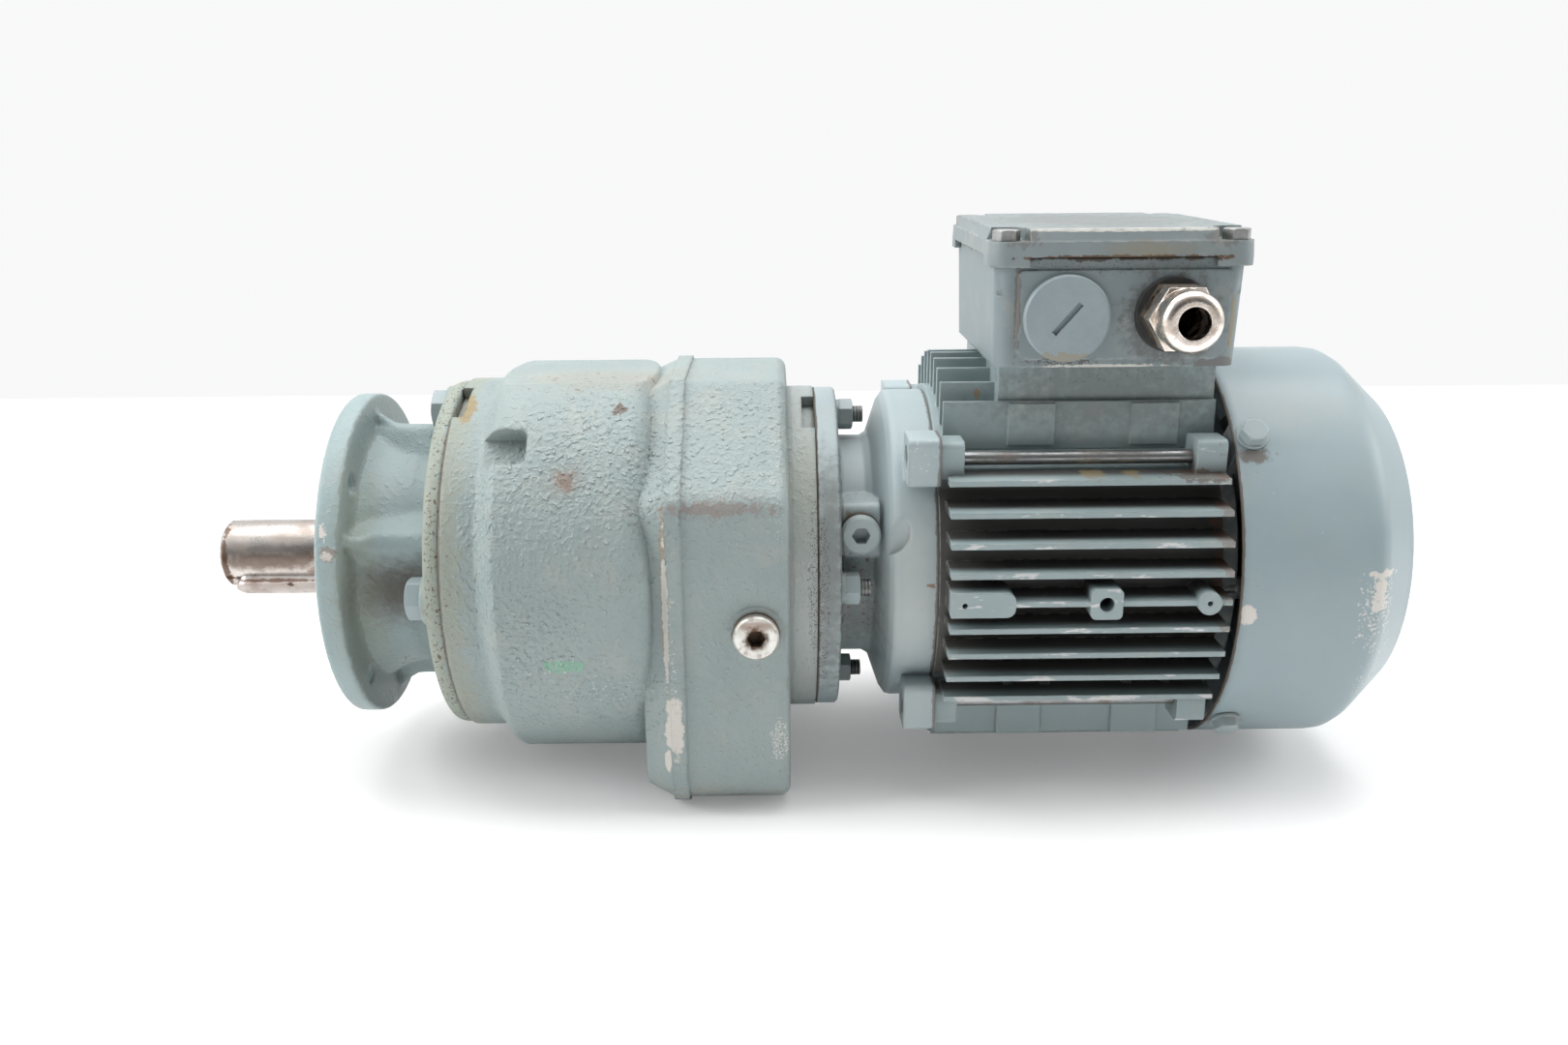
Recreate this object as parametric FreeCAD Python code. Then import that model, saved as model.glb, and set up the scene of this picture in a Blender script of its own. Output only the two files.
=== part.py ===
import FreeCAD, Part
import math
import os

# Inline helical gearmotor with a round mounting flange.
# Frame, in millimetres: X runs along the output shaft from the shaft tip to the fan, Z is up,
# and the origin is the centre of the mounting face. The shaft stub points along -X.
# Angles round an axis are in degrees: 0 is the -Y side, 90 is the top and -90 the bottom.

Vec = FreeCAD.Vector
ALONG_X = Vec(1, 0, 0)
TOP = 90
QUARTERS = [0, 90, 180, 270]

# ---- output shaft and mounting flange
stub_d = 25.0
stub_len = 50.0
stub_chamfer = 1.5
shoulder_len = 2.0
centre_thread_d = 8.5
centre_thread_depth = 22.0
key_w = 8.0
key_h = 7.0
key_len = 40.0
key_sunk = 4.0
key_tip_gap = 5.0
key_angle = -45
seal_land_d = 30.0
shaft_collar_d = 36.0
wheel_seat_d = 30.0
flange_d = 120.0
flange_t = 8.0
pilot_d = 80.0
pilot_len = 3.0
flange_bolt_circle = 100.0
flange_hole_d = 6.6
neck_d = 82.0
neck_len = 29.0
neck_fillet = 9.0
neck_step = 1.2
neck_step_x = 25.0
neck_wall = 7.5
rib_d = 99.0
rib_tip_w = 3.6
rib_root_w = 15.0
rib_foot_run = 8.0
rib_foot_rise = 5.0
rib_angles = [21, 90, 159, 270]
cover_d = 129.0
cover_t = 6.0
cover_round = 2.5
cover_spigot_len = 6.0
case_bolt_land = 5.0
case_bolt_d = 8.0
case_bolt_af = 13.0
case_bolt_head = 5.5
case_bolt_reach = 20.0
bolt_pad_t = 1.6
head_chamfer = 0.12

# ---- gears: two stages, tooth counts and modules set the shaft heights
stage1_module = 1.5
motor_pinion_teeth = 13
middle_wheel_teeth = 41
stage2_module = 1.75
layshaft_pinion_teeth = 11
output_wheel_teeth = 33
pressure_angle = 20.0
helix_angle = 12.0
flank_thinning = 0.14
profile_shift = 0.35
stage1_width = 16.0
stage2_width = 22.0
pinion_extra = 4.0
middle_bore_d = 14.0
hub_extra = 3.0
rim_t = 5.0
web_t = 7.0

# ---- rolling bearings: outside diameter, bore, width
output_front_bearing = (62.0, 30.0, 16.0)
output_rear_bearing = (40.0, 17.0, 12.0)
layshaft_rear_bearing = (32.0, 15.0, 9.0)
needle_bearing = (14.0, 10.0, 12.0)
motor_front_bearing = (47.0, 20.0, 14.0)
motor_rear_bearing = (40.0, 17.0, 12.0)
bearing_gap = 0.3
needle_gap = 0.06
seal_t = 7.0
seal_d = 47.0
motor_seal_d = 40.0
seal_clear = 0.06

# ---- gearcase
case_front_d = 131.0
case_front_len = 12.0
case_step_len = 8.0
drum_d = 146.6
drum_len = 47.0
drum_rear_r = 9.0
drum_overrun = 4.0
flank_len = 9.0
flank_inset = 4.0
bulge_len = 41.0
bulge_half_w = 68.0
bulge_top = 69.0
bulge_top_half_w = 26.0
bulge_shoulder_z = 36.0
bulge_bottom = -77.0
bulge_corner_r = 20.0
bulge_shoulder_r = 9.0
bulge_rear_round = 4.0
ridge_w = 5.5
ridge_h = 1.0
case_wall = 5.0
collar_d = 121.0
collar_len = 9.6
mouth_land = 2.5
cavity_d = 120.0
mouth_ring_len = 14.0
partition_x = 100.0
partition_t = 16.0
rear_mouth_d = 86.0
spigot_clear = 0.05
pocket_angle = 45.5
pocket_w = 13.6
pocket_run = 9.7
pocket_r = 3.0
pry_slot = (4.4, 20.5, 5.0)
front_pry_angle = 71.5
rear_pry_angle = 69.5
plug_x = 148.7
plug_z = -9.0
plug_head_d = 15.5
plug_head_t = 3.2
plug_thread_d = 10.0
plug_hex_af = 5.5
washer_t = 1.2
plug_thread_len = 7.0
plug_edge = 0.8

# ---- motor flange and bell
disc_d = 120.0
disc_t = 8.2
disc_drop = 1.0
stud_circle = 101.4
stud_clear = 1.0
stud_d = 6.0
stud_nut_af = 10.0
stud_nut_t = 5.0
stud_washer = (11.0, 1.6)
stud_end = 3.8
stud_grip = 9.0
motor_neck_d = 82.0
motor_neck_len = 12.2
bell_cone_len = 5.8
bell_d = 115.8
bell_len = 15.0
bell_edge = 2.0
bell_wall = 7.0
boss_w = 20.0
boss_z = 19.5
boss_face = 46.0
boss_corner_r = 3.0
neck_plug_z = 19.5
neck_plug_head_d = 13.6
scallop_d = 16.0
scallop_back = 3.2
scallop_rise = 2.0
scallop_depth = 5.4

# ---- stator housing
housing_len = 96.0
housing_d = 120.0
housing_bore = 108.0
fin_tip_d = 145.0
fin_pitch = 9.6
fins_each_side = 4
fin_root_t = 3.2
fin_tip_t = 1.9
fin_front_gap = 2.3
fin_rear_gap = 0.6
rod_circle = 131.2
rod_angle = 42.3
rod_d = 4.8
rod_head_d = 8.6
rod_head_t = 5.0
rod_head_sunk = 0.4
rod_socket_af = 4.0
bell_lug = 16.6
bell_lug_len = 11.0
lug_edge_r = 2.2
housing_lug_d = 13.6
front_lug_len = 7.8
rear_lug_len = 10.0
boss_thread_d = 5.0
square_boss_x = 264.5
square_boss = 10.5
round_boss_x = 298.5
round_boss_d = 8.0
strip_pad_len = 21.3
strip_pad_h = 8.5
foot_pads = [(235.3, 16.0), (277.2, 16.5)]
foot_pad_out = 2.2
foot_pad_rise = (8.0, 22.5)
foot_web_t = 3.0
foot_web_reach = 14.0
pedestal_half_w = 37.0
pedestal_set = 21.2
pedestal_gap = 0.8
lead_hole = (30.0, 26.0)

# ---- stator, rotor and motor shaft
core_x = 230.0
core_len = 62.0
core_bore = 62.0
winding_d = 100.0
winding_bore = 68.0
winding_front = 13.0
winding_rear = 11.0
air_gap = 0.4
end_ring_d = 56.0
end_ring_len = 9.0
motor_shaft_d = 24.0
motor_shaft_tail_d = 14.0
pinion_shank_d = 12.0
pinion_shank_len = 24.0

# ---- rear endshield, fan and cowl
shield_t = 5.0
shield_boss_d = 52.0
shield_boss_len = 15.0
shield_lug_w = 12.0
shield_lug_len = 12.0
shield_lug_root = 40.0
shield_screw_len = 12.0
shield_screw_circle = 114.0
shield_screw_d = 4.0
shield_screw_af = 7.0
shield_screw_head = 2.8
cowl_d = 145.0
cowl_sheet = 1.2
cowl_gap = 2.0
cowl_len = 64.0
cowl_cone_len = 16.0
cowl_cone_drop = 15.0
cowl_soft = 5.0
cowl_screw_x = 315.0
cowl_screw_d = 5.0
cowl_screw_af = 8.0
cowl_screw_head = 3.6
cowl_screw_len = 10.0
cowl_washer = (10.4, 1.0)
cowl_lug_gap = 0.3
grille_rings = [14.0, 24.0, 34.0, 44.0]
grille_slot = 4.5
grille_arcs = 4
grille_bridge = 9.0
fan_d = 112.0
fan_x = 331.0
fan_len = 20.0
fan_hub_d = 32.0
fan_blades = 7
fan_blade_t = 2.4
fan_plate_t = 2.5

# ---- terminal box
box_x = (227.6, 309.7)
box_y = (-49.1, 42.4)
box_bottom = 76.6
box_top = 112.2
box_draft = 1.0
box_wall = 3.6
box_corner_r = 5.0
box_foot_gasket = 0.8
box_screw_inset = 3.6
box_boss_d = 11.0
lid_over = 2.3
lid_gasket = 0.5
lid_lug_top = 117.7
lid_top = 121.6
lid_slope = 2.2
lid_lug = 13.0
lid_skirt_drop = 2.6
lid_wall = 4.5
lid_screw_d = 5.0
lid_screw_af = 8.0
lid_screw_head = 3.6
lid_screw_grip = 11.0
pad_x = (235.0, 304.5)
pad_z = (79.5, 108.5)
pad_t = 0.9
plug_pos = (251.0, 93.2)
blank_d = 28.4
blank_t = 2.8
blank_slot = (12.8, 1.9, 1.4)
blank_thread_d = 22.0
entry_thread_len = 8.0
blank_slot_angle = -49
blank_edge = 0.7
gland_pos = (285.6, 94.2)
gland_seal_d = 24.6
gland_seal_t = 2.4
gland_hex_af = 20.0
gland_hex_t = 6.2
gland_thread_d = 18.0
gland_thread_len = 14.0
gland_nut_hex_t = 5.2
gland_nut_d = 19.8
gland_nut_len = 15.6
gland_bore = 10.5
gland_nose = 4.0
gland_nose_r = 3.2
gland_split = 0.6
locknut_af = 24.0
locknut_t = 3.0
board = (56.0, 36.0, 6.0)
board_lift = 6.0
terminal_d = 4.0
terminal_len = 14.0
terminal_pitch = (18.0, 18.0)
terminal_nut_af = 7.0
terminal_nut_t = 3.0
link_t = 0.8
link_w = 7.0

# ---- places that follow from the sizes
stage1_centre = stage1_module * (motor_pinion_teeth + middle_wheel_teeth) / 2
stage2_centre = stage2_module * (layshaft_pinion_teeth + output_wheel_teeth) / 2
layshaft_z = -stage2_centre
case_mouth_d = 2 * (stage2_centre + needle_bearing[0] / 2 + mouth_land)
case_bolt_circle = case_mouth_d + case_bolt_d + case_bolt_land
motor_z = stage1_centre - stage2_centre
disc_z = motor_z - disc_drop
stud_z = disc_z + stud_circle / 2
rod_side = rod_circle / 2 * math.cos(math.radians(rod_angle))
rod_rise = rod_circle / 2 * math.sin(math.radians(rod_angle))
pedestal_low = motor_z + math.sqrt((housing_bore / 2) ** 2 - pedestal_half_w ** 2)

neck_end = flange_t + neck_len
case_x = neck_end + cover_t
step_x = case_x + case_front_len
drum_x = step_x + case_step_len
flank_x = drum_x + drum_len
bulge_x = flank_x + flank_len
collar_x = bulge_x + bulge_len
disc_x = collar_x + collar_len
motor_neck_x = disc_x + disc_t
cone_x = motor_neck_x + motor_neck_len
bell_x = cone_x + bell_cone_len
housing_x = bell_x + bell_len
shield_x = housing_x + housing_len
pedestal_x = housing_x + pedestal_set
pedestal_len = shield_x - pedestal_gap - pedestal_x
cowl_x = shield_x + cowl_gap
cowl_end = cowl_x + cowl_len

seal_x = -pilot_len + 0.5
front_bearing_x = seal_x + seal_t + 3.5
stage2_x = drum_x - 1.0
output_rear_x = partition_x + 3.0
layshaft_rear_x = partition_x + 6.0
stage1_x = partition_x + partition_t + hub_extra
motor_seal_x = disc_x + 1.5
motor_front_x = motor_seal_x + seal_t + 2.0
motor_rear_x = shield_x + 1.5


def rod(x0, x1, diameter, y=0.0, z=0.0):
    return Part.makeCylinder(diameter / 2, x1 - x0, Vec(x0, y, z), ALONG_X)


def tube(x0, x1, outer_d, inner_d, y=0.0, z=0.0):
    bore = rod(x0, x1, inner_d, y, z)
    return rod(x0, x1, outer_d, y, z).cut(bore)


def slab(xs, ys, zs):
    size = (xs[1] - xs[0], ys[1] - ys[0], zs[1] - zs[0])
    return Part.makeBox(size[0], size[1], size[2], Vec(xs[0], ys[0], zs[0]))


def turned(profile, z=0.0):
    """Solid of revolution about the X line at height z, from (x, radius) corners."""
    corners = [Vec(x, 0, z + r) for x, r in profile]
    face = Part.Face(Part.makePolygon(corners + corners[:1]))
    return face.revolve(Vec(0, 0, z), ALONG_X, 360)


def turn_about(shape, degrees, z=0.0):
    copy = shape.copy()
    copy.rotate(Vec(0, 0, z), ALONG_X, degrees)
    return copy


def spread(top_shape, angles, z=0.0):
    """Copies of a shape modelled at the top, turned to each angle about the X line at height z."""
    return [turn_about(top_shape, TOP - angle, z) for angle in angles]


def hex_prism(across, length, base, direction):
    """Hexagonal prism on the point base along the direction, with two flats facing up and down."""
    radius = across / math.sqrt(3)
    corners = [Vec(radius * math.cos(math.radians(60 * i)), radius * math.sin(math.radians(60 * i)), 0)
               for i in range(7)]
    prism = Part.Face(Part.makePolygon(corners)).extrude(Vec(0, 0, length))
    prism.Placement = FreeCAD.Placement(base, FreeCAD.Rotation(Vec(0, 0, 1), direction))
    return prism


def hex_head(across, length, base, direction):
    """Hexagon whose outer corners are turned off, as on a bolt head or nut; the direction points outwards."""
    prism = hex_prism(across, length, base, direction)
    corner_r = across / math.sqrt(3)
    drop = head_chamfer * across
    top_r = across / 2 - 0.2 * drop
    blank = Part.makeCylinder(corner_r + 1, length - drop, base, direction)
    crown = Part.makeCone(top_r + 2.4 * drop, top_r, drop, base + direction * (length - drop), direction)
    return prism.common(fused([blank, crown]))


def rounded_wire(corners, place):
    """Closed outline from (u, v, radius) corners with tangent arcs; place(u, v) gives the 3-D point."""
    edges = []
    ends = []
    count = len(corners)
    for i, (u, v, radius) in enumerate(corners):
        before = Vec(corners[i - 1][0], corners[i - 1][1], 0)
        after = Vec(corners[(i + 1) % count][0], corners[(i + 1) % count][1], 0)
        corner = Vec(u, v, 0)
        back = (before - corner).normalize()
        ahead = (after - corner).normalize()
        half = back.getAngle(ahead) / 2
        reach = radius / math.tan(half)
        middle = (back + ahead).normalize() * (radius / math.sin(half) - radius)
        ends.append((corner + back * reach, corner + middle, corner + ahead * reach))
    for i, (start, middle, end) in enumerate(ends):
        on = [place(p.x, p.y) for p in (start, middle, end)]
        following = ends[(i + 1) % count][0]
        edges.append(Part.Arc(on[0], on[1], on[2]).toShape())
        edges.append(Part.makeLine(on[2], place(following.x, following.y)))
    return Part.Wire(edges)


def fused(shapes):
    return shapes[0].multiFuse(shapes[1:]).removeSplitter()


def drilled(shape, tools):
    return shape.cut(Part.makeCompound(tools))


def plain(shapes):
    return Part.makeCompound(shapes)


# ---- gears

def involute(angle):
    return math.tan(angle) - angle


def tooth_profile(module, teeth, shift, x, z, phase):
    """Wire of an involute gear's transverse section; phase is the angle of one tooth centre."""
    pressure = math.radians(pressure_angle)
    pitch_r = module * teeth / 2
    base_r = pitch_r * math.cos(pressure)
    radii = [pitch_r - (1.25 - shift) * module, pitch_r, pitch_r + (1 + shift) * module]
    half_tooth = (math.pi / 2 + 2 * shift * math.tan(pressure) - flank_thinning / module) / teeth
    offsets = []
    for radius in radii:
        local = math.acos(min(1.0, base_r / radius))
        offsets.append(half_tooth + involute(pressure) - involute(local))
    corners = []
    for i in range(teeth):
        centre = phase + 2 * math.pi * i / teeth
        rising = [(r, centre - a) for r, a in zip(radii, offsets)]
        falling = [(r, centre + a) for r, a in zip(reversed(radii), reversed(offsets))]
        corners += rising + falling
    points = [Vec(x, -r * math.cos(a), z + r * math.sin(a)) for r, a in corners]
    return Part.makePolygon(points + points[:1])


def helical_gear(module, teeth, x0, width, z, meshing_angle, driving, hand):
    """Helical gear blank. A driving gear turns a tooth to its mate at mid width, a driven one a gap."""
    pitch_r = module * teeth / 2
    twist = hand * math.tan(math.radians(helix_angle)) * width / pitch_r
    middle = math.radians(meshing_angle)
    shift = profile_shift
    if not driving:
        middle += math.pi / teeth
        shift = -profile_shift
    ends = [(x0, middle - twist / 2), (x0 + width, middle + twist / 2)]
    front, back = [tooth_profile(module, teeth, shift, x, z, phase) for x, phase in ends]
    faces = [Part.makeRuledSurface(a, b) for a, b in zip(front.Edges, back.Edges)]
    shell = Part.makeShell(faces + [Part.Face(front), Part.Face(back)])
    shell.sewShape()
    return Part.makeSolid(shell)


def wheel(module, teeth, x0, width, bore, z, meshing_angle, hand):
    """Gear wheel with rim, web, hub, bore and keyway."""
    root_d = module * (teeth - 2.5)
    hub_d = bore * 1.5
    blank = helical_gear(module, teeth, x0, width, z, meshing_angle, False, hand)
    recess = (width - web_t) / 2
    hollow = tube(x0, x0 + recess, root_d - 2 * rim_t, hub_d, 0, z)
    hollows = [hollow, hollow.translated(Vec(width - recess, 0, 0))]
    hub = tube(x0 - hub_extra, x0, hub_d, bore, 0, z)
    return fused([drilled(blank, hollows + [rod(x0, x0 + width, bore, 0, z)]), hub])


# ---- bearings and seals

def outer_ring(size, x0, z=0.0):
    outside, bore, width = size
    return tube(x0, x0 + width, outside, (outside + bore) / 2, 0, z)


def inner_ring(size, x0, z=0.0):
    outside, bore, width = size
    return tube(x0, x0 + width, (outside + bore) / 2 - 2 * bearing_gap, bore, 0, z)


# ---- output end

def key_solid(width, height, length, x0, radius_low):
    """Parallel key with round ends, modelled at the top of the shaft."""
    half = width / 2
    straight = slab((x0 + half, x0 + length - half), (-half, half), (radius_low, radius_low + height))
    ends = [Part.makeCylinder(half, height, Vec(x, 0, radius_low)) for x in (x0 + half, x0 + length - half)]
    return fused([straight] + ends)


def shaft_key():
    x0 = -shoulder_len - stub_len + key_tip_gap
    at_top = key_solid(key_w, key_h, key_len, x0, stub_d / 2 - key_sunk)
    return turn_about(at_top, TOP - key_angle)


def output_shaft():
    tip = -shoulder_len - stub_len
    journal_d = output_rear_bearing[1]
    seat_end = stage2_x + stage2_width + hub_extra
    profile = [(tip, 0), (tip, stub_d / 2 - stub_chamfer), (tip + stub_chamfer, stub_d / 2),
               (-shoulder_len, stub_d / 2), (-shoulder_len, seal_land_d / 2 - 0.5),
               (-shoulder_len + 0.5, seal_land_d / 2),
               (front_bearing_x + output_front_bearing[2], seal_land_d / 2),
               (front_bearing_x + output_front_bearing[2], shaft_collar_d / 2),
               (stage2_x - hub_extra, shaft_collar_d / 2), (stage2_x - hub_extra, wheel_seat_d / 2),
               (seat_end, wheel_seat_d / 2), (seat_end, journal_d / 2 + 2.5),
               (output_rear_x, journal_d / 2 + 2.5), (output_rear_x, journal_d / 2),
               (output_rear_x + output_rear_bearing[2], journal_d / 2),
               (output_rear_x + output_rear_bearing[2], 0)]
    hole = rod(tip, tip + centre_thread_depth, centre_thread_d)
    return drilled(turned(profile), [hole, shaft_key(), output_wheel_key()])


def output_wheel_key():
    length = stage2_width - 2.0
    return key_solid(key_w, key_h, length, stage2_x + 1.0, wheel_seat_d / 2 - key_sunk)


def output_wheel():
    blank = wheel(stage2_module, output_wheel_teeth, stage2_x, stage2_width, wheel_seat_d, 0, -TOP, -1)
    return blank.cut(output_wheel_key())


def ridge_along(x0, x1, low, high, root_w, tip_w):
    """Rib that tapers from its root to its tip in hollow flanks, modelled at the top of the X axis."""
    def flank(side):
        middle = Vec(x0, side * (tip_w / 2 + 0.22 * (root_w - tip_w) / 2), low + 0.42 * (high - low))
        return Part.Arc(Vec(x0, side * root_w / 2, low), middle, Vec(x0, side * tip_w / 2, high)).toShape()

    right, left = flank(1), flank(-1)
    edges = [right, Part.makeLine(Vec(x0, tip_w / 2, high), Vec(x0, -tip_w / 2, high)), left,
             Part.makeLine(Vec(x0, -root_w / 2, low), Vec(x0, root_w / 2, low))]
    outline = Part.Wire(Part.__sortEdges__(edges))
    return Part.Face(outline).extrude(Vec(x1 - x0, 0, 0))


def output_flange():
    cover_r = cover_d / 2
    neck_r = neck_d / 2
    bearing_end = front_bearing_x + output_front_bearing[2]
    cavity_r = neck_r - neck_wall
    curve = [(flange_t + neck_fillet * (1 - math.cos(a)), neck_r + neck_fillet * (1 - math.sin(a)))
             for a in [math.radians(d) for d in (0, 22.5, 45, 67.5, 90)]]
    outside = [(-pilot_len, pilot_d / 2 - 0.5), (-pilot_len + 0.5, pilot_d / 2), (0, pilot_d / 2),
               (0, flange_d / 2 - 0.8), (0.8, flange_d / 2), (flange_t - 0.8, flange_d / 2),
               (flange_t, flange_d / 2 - 0.8)] + curve
    outside += [(neck_step_x, neck_r), (neck_step_x + 2, neck_r - neck_step), (neck_end - 3, neck_r - neck_step),
                (neck_end, neck_r + 2), (neck_end, cover_r - cover_round),
                (neck_end + 0.3 * cover_round, cover_r - 0.3 * cover_round),
                (neck_end + cover_round, cover_r), (case_x, cover_r)]
    inside = [(case_x, case_mouth_d / 2 - spigot_clear),
              (case_x + cover_spigot_len, case_mouth_d / 2 - spigot_clear),
              (case_x + cover_spigot_len, cavity_r + 1), (case_x, cavity_r), (bearing_end, cavity_r - 2),
              (bearing_end, output_front_bearing[0] / 2), (front_bearing_x, output_front_bearing[0] / 2),
              (front_bearing_x, seal_d / 2 - 3), (seal_x + seal_t, seal_d / 2 - 3), (seal_x + seal_t, seal_d / 2),
              (-pilot_len, seal_d / 2)]
    body = turned(outside + inside)
    rib_low = neck_r - neck_wall / 2
    rib = ridge_along(flange_t - 1, neck_end + 1, rib_low, rib_d / 2, rib_root_w, rib_tip_w)
    foot_top = rib_d / 2 + rib_foot_rise
    foot_side = [Vec(flange_t - 1, -rib_tip_w / 2, rib_low), Vec(flange_t + rib_foot_run, -rib_tip_w / 2, rib_low),
                 Vec(flange_t + rib_foot_run, -rib_tip_w / 2, rib_d / 2), Vec(flange_t, -rib_tip_w / 2, foot_top),
                 Vec(flange_t - 1, -rib_tip_w / 2, foot_top)]
    foot = Part.Face(Part.makePolygon(foot_side + foot_side[:1])).extrude(Vec(0, rib_tip_w, 0))
    pad = rod(neck_end - bolt_pad_t, neck_end + 1, case_bolt_af + 5, 0, case_bolt_circle / 2)
    needle_boss_d = needle_bearing[0] + 4.6
    needle_boss = rod(neck_end + 1, case_x + needle_bearing[2] + 2, needle_boss_d, 0, layshaft_z)
    body = fused([body] + spread(rib, rib_angles) + spread(foot, rib_angles) + spread(pad, QUARTERS)
                 + [needle_boss])
    flange_hole = rod(-1, flange_t + 1, flange_hole_d, 0, flange_bolt_circle / 2)
    case_hole = rod(neck_end - bolt_pad_t - 1, case_x + 1, case_bolt_d + 0.8, 0, case_bolt_circle / 2)
    spot = rod(neck_end - 10, neck_end - bolt_pad_t, case_bolt_af + 4, 0, case_bolt_circle / 2)
    needle_bore = rod(case_x + 1, case_x + needle_bearing[2] + 3, needle_bearing[0], 0, layshaft_z)
    holes = spread(flange_hole, [45, 135, 225, 315]) + spread(case_hole, QUARTERS)
    return drilled(body, holes + spread(spot, QUARTERS) + [needle_bore])


def flange_bolts():
    seat = neck_end - bolt_pad_t
    y, z = 0, case_bolt_circle / 2
    shank = rod(seat, seat + case_bolt_reach, case_bolt_d, y, z)
    head = hex_head(case_bolt_af, case_bolt_head, Vec(seat, y, z), -ALONG_X)
    return plain(spread(fused([shank, head]), QUARTERS))


# ---- gearcase

def across_x(x):
    return lambda y, z: Vec(x, y, z)


def bulge_outline(x, inset):
    """Section of the rear gearcase chamber, drawn in by the inset."""
    side = bulge_half_w - inset
    top_half = bulge_top_half_w - 0.4 * inset
    bottom = bulge_bottom + inset
    top = bulge_top - inset
    shoulder = bulge_shoulder_z - 0.4 * inset
    low_r = bulge_corner_r - 0.5 * inset
    corners = [(-top_half, top, 3.0), (top_half, top, 3.0), (side, shoulder, bulge_shoulder_r),
               (side, bottom, low_r), (-side, bottom, low_r), (-side, shoulder, bulge_shoulder_r)]
    return rounded_wire(corners, across_x(x))


def chamber(x0, x1, inset0, inset1):
    return Part.makeLoft([bulge_outline(x0, inset0), bulge_outline(x1, inset1)], True, True)


def pry_cut(x0, angle, outer_r, z=0.0):
    length, width, depth = pry_slot
    at_top = slab((x0, x0 + length), (-width / 2, width / 2), (z + outer_r - depth, z + outer_r + 10))
    return turn_about(at_top, TOP - angle, z)


def gearcase():
    front_r = case_front_d / 2
    drum_r = drum_d / 2
    drum_end = flank_x + drum_overrun
    outside = turned([(case_x, 0), (case_x, front_r - 0.8), (case_x + 0.8, front_r), (step_x, front_r),
                      (step_x + 1.5, front_r + 0.8), (drum_x - 2, drum_r - 1.2), (drum_x, drum_r),
                      (drum_end, drum_r), (drum_end, 0)])
    rear_edge = [e for e in outside.Edges if abs(e.BoundBox.XMin - drum_end) < 1e-6
                 and e.BoundBox.ZMax > drum_r - 1]
    outside = outside.makeFillet(drum_rear_r, rear_edge)
    above = slab((case_x - 1, drum_end + 1), (-drum_r, drum_r), (bulge_top - 0.5, drum_r + 5))
    drum = outside.cut(above)
    bulge = chamber(bulge_x, collar_x, 0, 0)
    rear_edges = [e for e in bulge.Edges if abs(e.BoundBox.XMin - collar_x) < 1e-6]
    bulge = bulge.makeFillet(bulge_rear_round, rear_edges)
    flank = chamber(flank_x, bulge_x, flank_inset, 0)
    ridge = chamber(bulge_x, bulge_x + ridge_w, -ridge_h, -ridge_h)
    collar = rod(collar_x - 1, disc_x, collar_d, 0, disc_z)
    plug_pad = Part.makeCylinder(plug_head_d / 2 + 2, 6, Vec(plug_x, -bulge_half_w - 0.6, plug_z), Vec(0, 1, 0))
    body = fused([drum, bulge, flank, ridge, collar, plug_pad])
    mouth = rod(case_x - 1, case_x + mouth_ring_len + 1, case_mouth_d)
    cavity = rod(case_x + mouth_ring_len, partition_x, cavity_d)
    gear_room = chamber(partition_x + partition_t, collar_x - case_wall, case_wall, case_wall)
    rear_mouth = rod(collar_x - case_wall - 1, disc_x + 1, rear_mouth_d, 0, motor_z)
    output_seat = rod(partition_x - 1, output_rear_x + output_rear_bearing[2], output_rear_bearing[0])
    layshaft_seat = rod(partition_x - 1, partition_x + partition_t + 1, layshaft_rear_bearing[0], 0, layshaft_z)
    bolt_hole = rod(case_x - 1, neck_end - bolt_pad_t + case_bolt_reach + 1, case_bolt_d, 0, case_bolt_circle / 2)
    stud_hole = rod(disc_x - stud_grip, disc_x + 1, stud_d, 0, stud_z)
    plug_hole = Part.makeCylinder(plug_thread_d / 2, 12, Vec(plug_x, -bulge_half_w - 2, plug_z), Vec(0, 1, 0))
    pocket = slab((step_x, drum_x + pocket_run), (-pocket_w / 2, pocket_w / 2), (front_r + 0.8, drum_r + 5))
    rear_corners = [e for e in pocket.Edges if e.BoundBox.ZLength > 2 and e.BoundBox.XMin > drum_x]
    pocket = pocket.makeFillet(pocket_r, rear_corners)
    cuts = [mouth, cavity, gear_room, rear_mouth, output_seat, layshaft_seat, plug_hole,
            turn_about(pocket, TOP - pocket_angle)]
    cuts += [pry_cut(case_x, front_pry_angle + half_turn, front_r) for half_turn in (0, 180)]
    cuts += [pry_cut(disc_x - pry_slot[0], rear_pry_angle + half_turn, collar_d / 2, disc_z)
             for half_turn in (0, 180)]
    return drilled(body, cuts + spread(bolt_hole, QUARTERS) + spread(stud_hole, QUARTERS, disc_z))


def socket_plug(head_d, head_t, thread_d, thread_len, x, z, seat_y):
    """Screw plug with a round collar head and a hexagon socket, screwed in along +Y."""
    along = Vec(0, 1, 0)
    head = Part.makeCone(head_d / 2 - plug_edge, head_d / 2, plug_edge, Vec(x, seat_y - head_t, z), along)
    collar = Part.makeCylinder(head_d / 2, head_t - plug_edge, Vec(x, seat_y - head_t + plug_edge, z), along)
    thread = Part.makeCylinder(thread_d / 2, thread_len, Vec(x, seat_y, z), along)
    socket = hex_prism(plug_hex_af, head_t + 1, Vec(x, seat_y - head_t, z), along)
    return fused([head, collar, thread]).cut(socket)


def plug_washer(head_d, thread_d, x, z, seat_y):
    along = Vec(0, 1, 0)
    disc = Part.makeCylinder(head_d / 2 + 0.2, washer_t, Vec(x, seat_y - washer_t, z), along)
    return disc.cut(Part.makeCylinder(thread_d / 2, washer_t, Vec(x, seat_y - washer_t, z), along))


# ---- motor flange

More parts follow.
